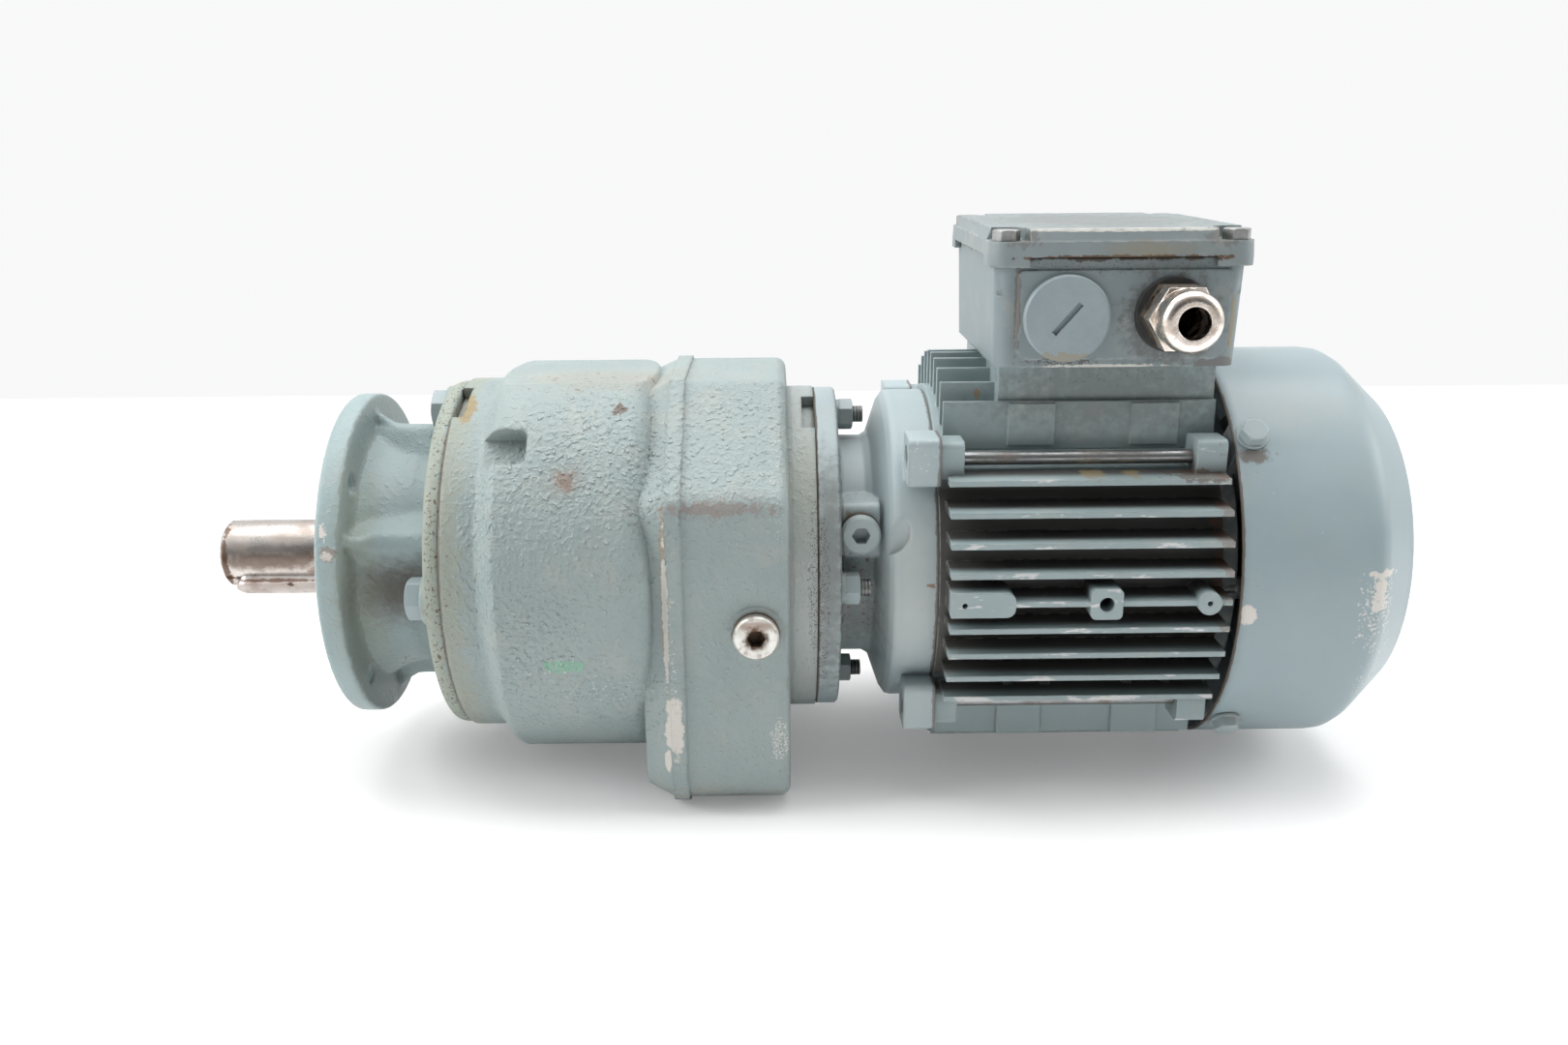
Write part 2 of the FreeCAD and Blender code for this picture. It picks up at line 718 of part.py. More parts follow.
def four_corners(near_top):
    """Copies of a shape at the near upper tie rod, mirrored side to side and top to bottom."""
    far_top = near_top.mirror(Vec(0, 0, 0), Vec(0, 1, 0))
    low = [shape.mirror(Vec(0, 0, motor_z), Vec(0, 0, 1)) for shape in (near_top, far_top)]
    return [near_top, far_top] + low


def rod_line(x0, x1, diameter):
    return rod(x0, x1, diameter, -rod_side, motor_z + rod_rise)


def corner_lug(x0, x1, width):
    """Square lug round a tie rod, flat on top and at the side, with its long edges rounded."""
    half = width / 2
    lug = slab((x0, x1), (-rod_side - half, -rod_side + half), (motor_z + rod_rise - half, motor_z + rod_rise + half))
    return lug.makeFillet(lug_edge_r, [e for e in lug.Edges if e.BoundBox.XLength > 1])


def motor_flange():
    neck_r = motor_neck_d / 2
    bell_r = bell_d / 2
    spigot_r = rear_mouth_d / 2 - spigot_clear
    bearing_r = motor_front_bearing[0] / 2
    bearing_end = motor_front_x + motor_front_bearing[2]
    outside = [(disc_x - 4, spigot_r), (motor_neck_x, spigot_r), (motor_neck_x + 2, neck_r),
               (cone_x - 2.5, neck_r), (cone_x, neck_r + 1.5), (bell_x - 1.5, bell_r - bell_edge - 1),
               (bell_x + 0.2, bell_r - 0.5), (bell_x + bell_edge, bell_r), (housing_x, bell_r)]
    inside = [(housing_x, housing_bore / 2 - spigot_clear), (housing_x + 4, housing_bore / 2 - spigot_clear),
              (housing_x + 4, bell_r - bell_wall), (bell_x + 4, bell_r - bell_wall), (cone_x + 4, bearing_r + 6),
              (bearing_end, bearing_r + 6), (bearing_end, bearing_r), (motor_front_x, bearing_r),
              (motor_front_x, motor_seal_d / 2 - 3), (motor_seal_x + seal_t, motor_seal_d / 2 - 3),
              (motor_seal_x + seal_t, motor_seal_d / 2), (disc_x - 4, motor_seal_d / 2)]
    disc = turned([(disc_x, neck_r - 4), (disc_x, disc_d / 2 - 0.6), (disc_x + 0.6, disc_d / 2),
                   (motor_neck_x - 0.8, disc_d / 2), (motor_neck_x, disc_d / 2 - 0.8),
                   (motor_neck_x, neck_r - 4)], disc_z)
    boss = slab((motor_neck_x - 1, cone_x + 1.5), (-boss_face, -neck_r + 12),
                (boss_z - boss_w / 2, boss_z + boss_w / 2))
    boss = boss.makeFillet(boss_corner_r, [e for e in boss.Edges if e.BoundBox.XLength > 5
                                           and e.BoundBox.YMax < -neck_r])
    lug = corner_lug(housing_x - bell_lug_len, housing_x, bell_lug)
    body = fused([turned(outside + inside, motor_z), disc, boss] + four_corners(lug))
    lug_x = housing_x - bell_lug_len
    rod_hole = rod_line(lug_x - 1, housing_x + 1, rod_d + 0.6)
    head_room = rod_line(lug_x - 1, lug_x + rod_head_t, rod_head_d + 0.6)
    scallop = Part.makeCylinder(scallop_d / 2, bell_r,
                                Vec(cone_x + scallop_back, scallop_depth - bell_r, boss_z + scallop_rise),
                                Vec(0, -1, 0))
    stud_hole = rod(disc_x - 1, motor_neck_x + 1, stud_d + stud_clear, 0, stud_z)
    plug_hole = Part.makeCylinder(plug_thread_d / 2, 9, Vec(boss_middle(), -boss_face - 1, neck_plug_z), Vec(0, 1, 0))
    cuts = four_corners(rod_hole) + four_corners(head_room) + spread(stud_hole, QUARTERS, disc_z)
    return drilled(body, cuts + [scallop, plug_hole])


def boss_middle():
    return (motor_neck_x + cone_x) / 2 + 0.9


def motor_studs():
    top = motor_neck_x + stud_washer[1] + stud_nut_t + stud_end
    at_top = rod(disc_x - stud_grip, top, stud_d, 0, stud_z)
    return plain(spread(at_top, QUARTERS, disc_z))


def stud_nuts():
    seat = motor_neck_x + stud_washer[1]
    nut = hex_head(stud_nut_af, stud_nut_t, Vec(seat, 0, stud_z), ALONG_X)
    nut = nut.cut(rod(seat, seat + stud_nut_t, stud_d, 0, stud_z))
    return plain(spread(nut, QUARTERS, disc_z))


def stud_washers():
    at_top = tube(motor_neck_x, motor_neck_x + stud_washer[1], stud_washer[0], stud_d, 0, stud_z)
    return plain(spread(at_top, QUARTERS, disc_z))


# ---- stator housing

def fin(offset, x0, x1, root_r, tip_reach):
    """Tapered cooling fin standing on the top of the housing, offset sideways by the given distance."""
    tip_r = fin_tip_d / 2
    root_z = motor_z + math.sqrt(root_r ** 2 - offset ** 2) - 1.0
    tip_z = motor_z + math.sqrt(tip_r ** 2 - offset ** 2) + tip_reach
    a, b = fin_root_t / 2, fin_tip_t / 2
    section = [Vec(x0, offset - a, root_z), Vec(x0, offset + a, root_z), Vec(x0, offset + b, tip_z),
               Vec(x0, offset - b, tip_z)]
    return Part.Face(Part.makePolygon(section + section[:1])).extrude(Vec(x1 - x0, 0, 0))


def fin_quadrant(x0, x1, skip_under=None):
    """Parallel fins of one side, with shorter ones where the terminal box pedestal stands."""
    fins = []
    for i in range(-fins_each_side, fins_each_side + 1):
        offset = i * fin_pitch
        under_pedestal = skip_under is not None and abs(offset) < pedestal_half_w
        end = skip_under if under_pedestal else x1
        fins.append(fin(offset, x0, end, housing_d / 2, 0.0))
    return fins


def side_bosses(fin_x0):
    """Flat bosses on the middle fin of a side, modelled on the -Y side."""
    tip = -fin_tip_d / 2 - 0.8
    root = -housing_d / 2 + 2
    half = square_boss / 2
    square = slab((square_boss_x - half, square_boss_x + half), (tip, root), (motor_z - half, motor_z + half))
    vertical_edges = [e for e in square.Edges if e.BoundBox.YLength > 5]
    square = square.makeFillet(1.8, vertical_edges)
    strip = slab((fin_x0, fin_x0 + strip_pad_len), (tip, root),
                 (motor_z - strip_pad_h / 2, motor_z + strip_pad_h / 2))
    right_edges = [e for e in strip.Edges if e.BoundBox.YLength > 5 and e.BoundBox.XMin > fin_x0 + 1]
    strip = strip.makeFillet(3.0, right_edges)
    length = root - tip
    disc = Part.makeCylinder(round_boss_d / 2, length, Vec(round_boss_x, tip, motor_z), Vec(0, 1, 0))
    return [square, strip, disc]


def housing_feet():
    """Raised pads on the outermost upright fins, top and bottom, with a web to the next fin down."""
    outer = fins_each_side * fin_pitch
    low = motor_z - math.sqrt((fin_tip_d / 2) ** 2 - outer ** 2)
    ys = (-outer - foot_pad_out, -outer)
    pads = []
    for x0, length in foot_pads:
        pads.append(slab((x0, x0 + length), ys, (low, motor_z - outer - 1)))
        pads.append(slab((x0, x0 + length), ys, (motor_z + outer + foot_pad_rise[0], motor_z + outer + foot_pad_rise[1])))
        for web_x in (x0, x0 + length - foot_web_t):
            pads.append(slab((web_x, web_x + foot_web_t), (-outer - foot_web_reach, -outer),
                             (motor_z - outer, motor_z - outer + fin_pitch)))
    mirrored = [pad.mirror(Vec(0, 0, 0), Vec(0, 1, 0)) for pad in pads]
    return pads + mirrored


def stator_housing():
    fin_x0 = housing_x + fin_front_gap
    fin_x1 = shield_x - fin_rear_gap
    barrel = rod(housing_x, shield_x, housing_d, 0, motor_z)
    side = fin_quadrant(fin_x0, fin_x1)
    fins = [turn_about(f, quarter, motor_z) for f in side for quarter in (90, 180, 270)]
    fins += fin_quadrant(fin_x0, fin_x1, pedestal_x + 1)
    bosses = side_bosses(fin_x0)
    bosses += [turn_about(boss, 180, motor_z) for boss in bosses]
    rear_end = shield_x - fin_rear_gap
    lugs = four_corners(corner_lug(housing_x, housing_x + front_lug_len, housing_lug_d))
    lugs += four_corners(corner_lug(rear_end - rear_lug_len, rear_end, housing_lug_d))
    pedestal_top = box_bottom - box_foot_gasket
    pedestal = slab((pedestal_x, pedestal_x + pedestal_len), (-pedestal_half_w, pedestal_half_w),
                    (pedestal_low, pedestal_top))
    body = fused([barrel, pedestal] + fins + bosses + lugs + housing_feet())
    bore = rod(housing_x - 1, shield_x + 1, housing_bore, 0, motor_z)
    middle = (pedestal_x + pedestal_x + pedestal_len) / 2
    leads = slab((middle - lead_hole[0] / 2, middle + lead_hole[0] / 2), (-lead_hole[1] / 2, lead_hole[1] / 2),
                 (pedestal_low, pedestal_top + 1))
    rod_hole = rod_line(housing_x - 1, shield_x + 1, rod_d)
    screw_hole = rod(shield_x + shield_t - shield_screw_len - 1, shield_x + 1, shield_screw_d,
                     0, motor_z + shield_screw_circle / 2)
    along = Vec(0, 1, 0)
    tapped = Part.makeCylinder(boss_thread_d / 2, 10, Vec(square_boss_x, -fin_tip_d / 2 - 1, motor_z), along)
    small = [Part.makeCylinder(0.9, 5, Vec(x, -fin_tip_d / 2 - 1, motor_z), along)
             for x in (fin_x0 + 4.5, round_boss_x)]
    taps = [tapped] + small
    taps += [turn_about(tap, 180, motor_z) for tap in taps]
    return drilled(body, [bore, leads] + four_corners(rod_hole) + spread(screw_hole, QUARTERS, motor_z) + taps)


def tie_rods():
    head_x = housing_x - bell_lug_len + rod_head_sunk
    shank = rod_line(head_x + 1, shield_x - fin_rear_gap, rod_d)
    head = rod_line(head_x, head_x - rod_head_sunk + rod_head_t, rod_head_d)
    socket = hex_prism(rod_socket_af, 3.0, Vec(head_x, -rod_side, motor_z + rod_rise), ALONG_X)
    return plain(four_corners(fused([shank, head]).cut(socket)))


# ---- stator and rotor

def stator_core():
    return tube(core_x, core_x + core_len, housing_bore - 2 * spigot_clear, core_bore, 0, motor_z)


def stator_windings():
    front = tube(core_x - winding_front, core_x, winding_d, winding_bore, 0, motor_z)
    rear = tube(core_x + core_len, core_x + core_len + winding_rear, winding_d, winding_bore, 0, motor_z)
    return plain([front, rear])


def rotor_core():
    length = (core_x, core_x + core_len)
    return tube(length[0], length[1], core_bore - 2 * air_gap, motor_shaft_d, 0, motor_z)


def rotor_end_rings():
    front = tube(core_x - end_ring_len, core_x, end_ring_d, motor_shaft_d + 6, 0, motor_z)
    return plain([front, front.translated(Vec(core_len + end_ring_len, 0, 0))])


def motor_shaft():
    front_r = motor_front_bearing[1] / 2
    rear_r = motor_rear_bearing[1] / 2
    body_r = motor_shaft_d / 2
    front_end = motor_front_x + motor_front_bearing[2]
    shank_end = stage1_x + stage1_width + pinion_extra
    profile = [(shank_end, 0), (shank_end, front_r - 1), (shank_end + 1, front_r), (front_end, front_r),
               (front_end, body_r), (motor_rear_x - 6, body_r), (motor_rear_x - 6, rear_r + 2),
               (motor_rear_x, rear_r + 2), (motor_rear_x, rear_r),
               (motor_rear_x + motor_rear_bearing[2], rear_r),
               (motor_rear_x + motor_rear_bearing[2], motor_shaft_tail_d / 2),
               (fan_x + fan_len + 1, motor_shaft_tail_d / 2), (fan_x + fan_len + 1, 0)]
    socket = rod(shank_end, shank_end + pinion_shank_len, pinion_shank_d, 0, motor_z)
    return turned(profile, motor_z).cut(socket)


def motor_pinion():
    width = stage1_width + pinion_extra / 2
    x0 = stage1_x - pinion_extra / 4
    teeth = helical_gear(stage1_module, motor_pinion_teeth, x0, width, motor_z, -TOP, True, -1)
    shank_end = stage1_x + stage1_width + pinion_extra + pinion_shank_len
    neck = rod(x0 + width, shank_end, pinion_shank_d, 0, motor_z)
    return fused([teeth, neck])


# ---- layshaft

def layshaft():
    """Pinion shaft: front needle journal, helical pinion, rear bearing seat and wheel seat."""
    width = stage2_width + pinion_extra
    x0 = stage2_x - pinion_extra / 2
    teeth = helical_gear(stage2_module, layshaft_pinion_teeth, x0, width, layshaft_z, TOP, True, 1)
    journal_r = needle_bearing[1] / 2 - needle_gap
    rear_r = layshaft_rear_bearing[1] / 2
    rear_end = layshaft_rear_x + layshaft_rear_bearing[2]
    seat_end = stage1_x + stage1_width + 2.0
    profile = [(case_x + 2, 0), (case_x + 2, journal_r), (x0, journal_r), (x0, 0)]
    back = [(x0 + width, 0), (x0 + width, rear_r + 2), (layshaft_rear_x, rear_r + 2), (layshaft_rear_x, rear_r),
            (rear_end, rear_r), (rear_end, middle_bore_d / 2), (seat_end, middle_bore_d / 2), (seat_end, 0)]
    return fused([teeth, turned(profile, layshaft_z), turned(back, layshaft_z)]).cut(middle_wheel_key())


def middle_wheel_key():
    length = stage1_width - 2.0
    low = layshaft_z + middle_bore_d / 2 - 3.0
    return slab((stage1_x + 1, stage1_x + 1 + length), (-2.5, 2.5), (low, low + 5))


def middle_wheel():
    gear = wheel(stage1_module, middle_wheel_teeth, stage1_x, stage1_width, middle_bore_d, layshaft_z, TOP, 1)
    return gear.cut(middle_wheel_key())


def layshaft_collar():
    x0 = stage1_x + stage1_width
    return tube(x0, x0 + 2.0, middle_bore_d + 8, middle_bore_d, 0, layshaft_z)


# ---- rear endshield, fan and cowl

def rear_endshield():
    boss_end = shield_x + shield_boss_len
    bearing_r = motor_rear_bearing[0] / 2
    profile = [(shield_x - 3, housing_bore / 2 - spigot_clear), (shield_x, housing_bore / 2 - spigot_clear),
               (shield_x, housing_d / 2 - 1), (shield_x + shield_t, housing_d / 2 - 1),
               (shield_x + shield_t, shield_boss_d / 2 + 2), (boss_end, shield_boss_d / 2),
               (boss_end, motor_shaft_tail_d / 2 + 3), (boss_end - 1, motor_shaft_tail_d / 2 + 3),
               (motor_rear_x + motor_rear_bearing[2], bearing_r - 1.5),
               (motor_rear_x + motor_rear_bearing[2], bearing_r), (shield_x, bearing_r),
               (shield_x, housing_bore / 2 - 4), (shield_x - 3, housing_bore / 2 - 4)]
    body = turned(profile, motor_z)
    lug_r = cowl_d / 2 - cowl_sheet - cowl_lug_gap
    lug = slab((cowl_screw_x - shield_lug_len / 2, cowl_screw_x + shield_lug_len / 2),
               (-shield_lug_w / 2, shield_lug_w / 2), (motor_z + shield_lug_root, motor_z + lug_r))
    arm = slab((shield_x, cowl_screw_x), (-shield_lug_w / 2, shield_lug_w / 2),
               (motor_z + shield_lug_root, motor_z + housing_d / 2 - 1))
    body = fused([body] + spread(lug, [45, 135, 225, 315], motor_z) + spread(arm, [45, 135, 225, 315], motor_z))
    hole_low = motor_z + cowl_d / 2 - cowl_screw_len - 1
    screw_hole = Part.makeCylinder(cowl_screw_d / 2, cowl_screw_len + 2, Vec(cowl_screw_x, 0, hole_low))
    axial = rod(shield_x - 1, shield_x + shield_t + 1, shield_screw_d + 0.6, 0, motor_z + shield_screw_circle / 2)
    envelope = rod(shield_x - 4, cowl_end, cowl_d - 2 * cowl_sheet - 2 * cowl_lug_gap, 0, motor_z)
    body = body.common(envelope)
    return drilled(body, spread(screw_hole, [45, 135, 225, 315], motor_z) + spread(axial, QUARTERS, motor_z))


def shield_screws():
    seat = shield_x + shield_t
    z = motor_z + shield_screw_circle / 2
    head = hex_head(shield_screw_af, shield_screw_head, Vec(seat, 0, z), ALONG_X)
    shank = rod(seat - shield_screw_len, seat, shield_screw_d, 0, z)
    return plain(spread(fused([head, shank]), QUARTERS, motor_z))


def cowl_profile(inward):
    """Outer outline of the cowl, or the same outline drawn inward by the sheet thickness."""
    radius = cowl_d / 2 - inward
    end = cowl_end - inward
    bend_x = cowl_end - cowl_cone_len - 0.4 * inward
    rim_r = cowl_d / 2 - cowl_cone_drop - 0.4 * inward
    slope = math.atan2(cowl_cone_drop, cowl_cone_len)
    reach = cowl_soft
    return [(bend_x - reach, radius), (bend_x - 0.3 * reach, radius - 0.09 * reach),
            (bend_x + 0.3 * reach, radius - 0.42 * reach),
            (end - 2.2, rim_r + 2.2 * math.tan(slope) * 0.8), (end - 0.6, rim_r + 0.2), (end, rim_r - 2.0)]


def fan_cowl():
    outer = cowl_profile(0.0)
    inner = cowl_profile(cowl_sheet)
    profile = [(cowl_x, cowl_d / 2)] + outer + [(cowl_end, 0), (cowl_end - cowl_sheet, 0)]
    profile += list(reversed(inner)) + [(cowl_x, cowl_d / 2 - cowl_sheet)]
    shell = turned(profile, motor_z)
    slots = []
    arc = 360.0 / grille_arcs
    for n, radius in enumerate(grille_rings):
        span = arc - math.degrees(grille_bridge / radius)
        start = arc / 4 * (n % 2) + (arc - span) / 2
        ring = Part.makeCylinder(radius + grille_slot / 2, 6, Vec(cowl_end - 3, 0, motor_z), ALONG_X, span)
        core = Part.makeCylinder(radius - grille_slot / 2, 6, Vec(cowl_end - 3, 0, motor_z), ALONG_X, span)
        sector = ring.cut(core)
        slots += [turn_about(sector, start + arc * i, motor_z) for i in range(grille_arcs)]
    hole = Part.makeCylinder(cowl_screw_d / 2 + 0.3, 10, Vec(cowl_screw_x, 0, motor_z + cowl_d / 2 - 5))
    return drilled(shell, slots + spread(hole, [45, 135, 225, 315], motor_z))


def cowl_screws():
    seat = motor_z + cowl_d / 2
    up = Vec(0, 0, 1)
    washer_d, washer_t = cowl_washer
    washer = Part.makeCylinder(washer_d / 2, washer_t, Vec(cowl_screw_x, 0, seat + 0.1), up)
    head = hex_head(cowl_screw_af, cowl_screw_head, Vec(cowl_screw_x, 0, seat + washer_t), up)
    shank = Part.makeCylinder(cowl_screw_d / 2, cowl_screw_len + washer_t,
                              Vec(cowl_screw_x, 0, seat - cowl_screw_len), up)
    return plain(spread(fused([washer, head, shank]), [45, 135, 225, 315], motor_z))


def fan():
    """Radial fan: hub, back plate and straight blades."""
    bore = rod(fan_x - 5, fan_x + fan_len + 5, motor_shaft_tail_d, 0, motor_z)
    hub = rod(fan_x, fan_x + fan_len, fan_hub_d, 0, motor_z)
    plate = rod(fan_x, fan_x + fan_plate_t, fan_d - 16, 0, motor_z)
    blade = slab((fan_x, fan_x + fan_len), (-fan_blade_t / 2, fan_blade_t / 2),
                 (motor_z + fan_hub_d / 2 - 1, motor_z + fan_d / 2))
    blades = [turn_about(blade, 360.0 * i / fan_blades, motor_z) for i in range(fan_blades)]
    return fused([hub, plate] + blades).cut(bore)


# ---- terminal box

def level(z):
    return lambda x, y: Vec(x, y, z)


def box_outline(z, inset, radius):
    x0, x1 = box_x[0] + inset, box_x[1] - inset
    y0, y1 = box_y[0] + inset, box_y[1] - inset
    return rounded_wire([(x0, y0, radius), (x1, y0, radius), (x1, y1, radius), (x0, y1, radius)], level(z))


def box_block(z0, z1, inset0, inset1, radius):
    return Part.makeLoft([box_outline(z0, inset0, radius), box_outline(z1, inset1, radius)], True, True)


def box_corners(inset):
    return [(x, y) for x in (box_x[0] + inset, box_x[1] - inset) for y in (box_y[0] + inset, box_y[1] - inset)]


def terminal_box():
    shell = box_block(box_bottom, box_top, box_draft, 0, box_corner_r)
    hollow = box_block(box_bottom + box_wall, box_top, box_wall + box_draft, box_wall, box_corner_r - 2)
    pad_corners = [(pad_x[0], pad_z[0], 5.0), (pad_x[1], pad_z[0], 5.0), (pad_x[1], pad_z[1], 1.5),
                   (pad_x[0], pad_z[1], 1.5)]
    pad_wire = rounded_wire(pad_corners, lambda x, z: Vec(x, box_y[0] - pad_t, z))
    pad = Part.Face(pad_wire).extrude(Vec(0, pad_t + 2, 0))
    posts = [Part.makeCylinder(box_boss_d / 2, box_top - box_bottom, Vec(x, y, box_bottom)).common(shell)
             for x, y in box_corners(box_screw_inset)]
    body = fused([shell.cut(hollow), pad] + posts)
    middle = pedestal_x + pedestal_len / 2
    leads = slab((middle - lead_hole[0] / 2, middle + lead_hole[0] / 2), (-lead_hole[1] / 2, lead_hole[1] / 2),
                 (box_bottom - 1, box_bottom + box_wall + 1))
    taps = [Part.makeCylinder(lid_screw_d / 2, lid_screw_grip + 2, Vec(x, y, box_top - lid_screw_grip - 1))
            for x, y in box_corners(box_screw_inset)]
    along = Vec(0, 1, 0)
    entry_y = box_y[0] - pad_t - 1
    entries = [Part.makeCylinder(blank_thread_d / 2, 9, Vec(plug_pos[0], entry_y, plug_pos[1]), along),
               Part.makeCylinder(gland_thread_d / 2, 9, Vec(gland_pos[0], entry_y, gland_pos[1]), along)]
    return drilled(body, [leads] + taps + entries)


def box_foot_seal():
    z0 = box_bottom - box_foot_gasket
    middle = pedestal_x + pedestal_len / 2
    sheet = slab((pedestal_x + 2, pedestal_x + pedestal_len - 2), (-pedestal_half_w + 2, pedestal_half_w - 2),
                 (z0, box_bottom))
    hole = slab((middle - lead_hole[0] / 2, middle + lead_hole[0] / 2), (-lead_hole[1] / 2, lead_hole[1] / 2),
                (z0 - 1, box_bottom + 1))
    return sheet.cut(hole)


def lid_seal():
    outer = box_block(box_top, box_top + lid_gasket, 0.4, 0.4, box_corner_r)
    inner = box_block(box_top, box_top + lid_gasket, box_wall, box_wall, box_corner_r - 2)
    corners = box_corners(box_screw_inset)
    rounds = [Part.makeCylinder(box_boss_d / 2, lid_gasket, Vec(x, y, box_top)).common(outer) for x, y in corners]
    holes = [Part.makeCylinder(lid_screw_d / 2, lid_gasket, Vec(x, y, box_top)) for x, y in corners]
    return drilled(fused([outer.cut(inner)] + rounds), holes)


def terminal_box_lid():
    """Lid with lower corner lugs for the screws, a raised middle and skirts that hang at the corners."""
    under = box_top + lid_gasket
    rim = box_block(under, lid_lug_top, -lid_over, -lid_over + 0.3, box_corner_r + 1)
    raised = box_block(lid_lug_top - 1, lid_top, -lid_over + 0.3, -lid_over + lid_slope, box_corner_r + 1)
    corner_cuts = []
    skirts = []
    for x, y in box_corners(-lid_over):
        sx = 1 if x < sum(box_x) / 2 else -1
        sy = 1 if y < sum(box_y) / 2 else -1
        xs = sorted((x - sx, x + sx * lid_lug))
        ys = sorted((y - sy, y + sy * lid_lug))
        post = slab(xs, ys, (lid_lug_top, lid_top + 1))
        inner_edge = [e for e in post.Edges if e.BoundBox.ZLength > 3
                      and abs(e.BoundBox.XMin - (x + sx * lid_lug)) < 0.01
                      and abs(e.BoundBox.YMin - (y + sy * lid_lug)) < 0.01]
        corner_cuts.append(post.makeFillet(5.0, inner_edge))
        skirts.append(slab(xs, ys, (under - lid_skirt_drop - lid_gasket, under)))
    outline = box_block(under - lid_skirt_drop - 1, under, -lid_over, -lid_over, box_corner_r + 1)
    clear = box_block(under - lid_skirt_drop - 2, under, -0.25, -0.25, box_corner_r)
    hanging = [skirt.common(outline).cut(clear) for skirt in skirts]
    hollow = box_block(under - 1, lid_top - lid_wall, box_wall + 8, box_wall + 9, box_corner_r)
    body = fused([rim, raised] + hanging)
    holes = [Part.makeCylinder(lid_screw_d / 2 + 0.3, 20, Vec(x, y, under - 1))
             for x, y in box_corners(box_screw_inset)]
    return drilled(body, corner_cuts + [hollow] + holes)


def lid_screws():
    screws = []
    up = Vec(0, 0, 1)
    for x, y in box_corners(box_screw_inset):
        head = hex_head(lid_screw_af, lid_screw_head, Vec(x, y, lid_lug_top), up)
        shank = Part.makeCylinder(lid_screw_d / 2, lid_lug_top - box_top + lid_screw_grip,
                                  Vec(x, y, box_top - lid_screw_grip))
        screws.append(fused([head, shank]))
    return plain(screws)


def blanking_plug():
    along = Vec(0, 1, 0)
    x, z = plug_pos
    face_y = box_y[0] - pad_t - blank_t
    rim = Part.makeCone(blank_d / 2 - blank_edge, blank_d / 2, blank_edge, Vec(x, face_y, z), along)
    disc = Part.makeCylinder(blank_d / 2, blank_t - blank_edge, Vec(x, face_y + blank_edge, z), along)
    thread = Part.makeCylinder(blank_thread_d / 2, entry_thread_len, Vec(x, face_y + blank_t, z), along)
    length, width, depth = blank_slot
    slot = slab((x - length / 2, x + length / 2), (face_y - 1, face_y + depth), (z - width / 2, z + width / 2))
    slot.rotate(Vec(x, 0, z), along, blank_slot_angle)
    return fused([rim, disc, thread]).cut(slot)


def gland_ring(outer_d, inner_d, y0, y1):
    along = Vec(0, 1, 0)
    x, z = gland_pos
    disc = Part.makeCylinder(outer_d / 2, y1 - y0, Vec(x, y0, z), along)
    return disc.cut(Part.makeCylinder(inner_d / 2, y1 - y0, Vec(x, y0, z), along))


def gland_seal():
    seat = box_y[0] - pad_t
    return gland_ring(gland_seal_d, gland_thread_d, seat - gland_seal_t, seat)


def gland_body():
    along = Vec(0, 1, 0)
    x, z = gland_pos
    seat = box_y[0] - pad_t - gland_seal_t
    front = seat - gland_hex_t - gland_split
    through = seat + gland_thread_len - front
    hexagon = hex_prism(gland_hex_af, gland_hex_t, Vec(x, seat - gland_hex_t, z), along)
    thread = Part.makeCylinder(gland_thread_d / 2, gland_thread_len, Vec(x, seat, z), along)
    collar = Part.makeCylinder(gland_thread_d / 2 - 0.6, gland_split, Vec(x, front, z), along)
    bore = Part.makeCylinder(gland_bore / 2 + 1, through, Vec(x, front, z), along)
    return fused([hexagon, thread, collar]).cut(bore)


def gland_nut():
    along = Vec(0, 1, 0)
    x, z = gland_pos
    back = box_y[0] - pad_t - gland_seal_t - gland_hex_t - gland_split
    front = back - gland_nut_len + gland_split
    radius = gland_nut_d / 2
    hexagon = hex_prism(gland_hex_af, gland_nut_hex_t, Vec(x, back - gland_nut_hex_t, z), along)
    barrel = Part.makeCylinder(radius, back - front - gland_nose, Vec(x, front + gland_nose, z), along)
    dome = Part.makeCylinder(radius, gland_nose, Vec(x, front, z), along)
    front_edges = [e for e in dome.Edges if abs(e.BoundBox.YMax - front) < 1e-6]
    dome = dome.makeFillet(gland_nose_r, front_edges)
    bore = Part.makeCylinder(gland_bore / 2, back - front, Vec(x, front, z), along)
    return fused([hexagon, barrel, dome]).cut(bore)


def gland_locknut():
    along = Vec(0, 1, 0)
    x, z = gland_pos
    inside = box_y[0] + box_wall + box_draft
    nut = hex_prism(locknut_af, locknut_t, Vec(x, inside, z), along)
    return nut.cut(Part.makeCylinder(gland_thread_d / 2, locknut_t, Vec(x, inside, z), along))


def board_origin():
    middle_x = pedestal_x + pedestal_len / 2
    middle_y = sum(box_y) / 2 + 6
    return middle_x, middle_y, box_bottom + box_wall + board_lift


def terminal_places():
    x, y, z = board_origin()
    return [(x + terminal_pitch[0] * i, y + terminal_pitch[1] * j) for i in (-1, 0, 1) for j in (-0.5, 0.5)]


def terminal_board():
    x, y, z = board_origin()
    plate = slab((x - board[0] / 2, x + board[0] / 2), (y - board[1] / 2, y + board[1] / 2), (z, z + board[2]))
    feet = [Part.makeCylinder(4, board_lift, Vec(x + i * (board[0] / 2 - 4), y + j * (board[1] / 2 - 4), z - board_lift))
            for i in (-1, 1) for j in (-1, 1)]
    holes = [Part.makeCylinder(terminal_d / 2, 20, Vec(px, py, z - 5)) for px, py in terminal_places()]
    return drilled(fused([plate] + feet), holes)


def terminal_studs():
    x, y, z = board_origin()
    return plain([Part.makeCylinder(terminal_d / 2, terminal_len + 3, Vec(px, py, z - 3))
                  for px, py in terminal_places()])


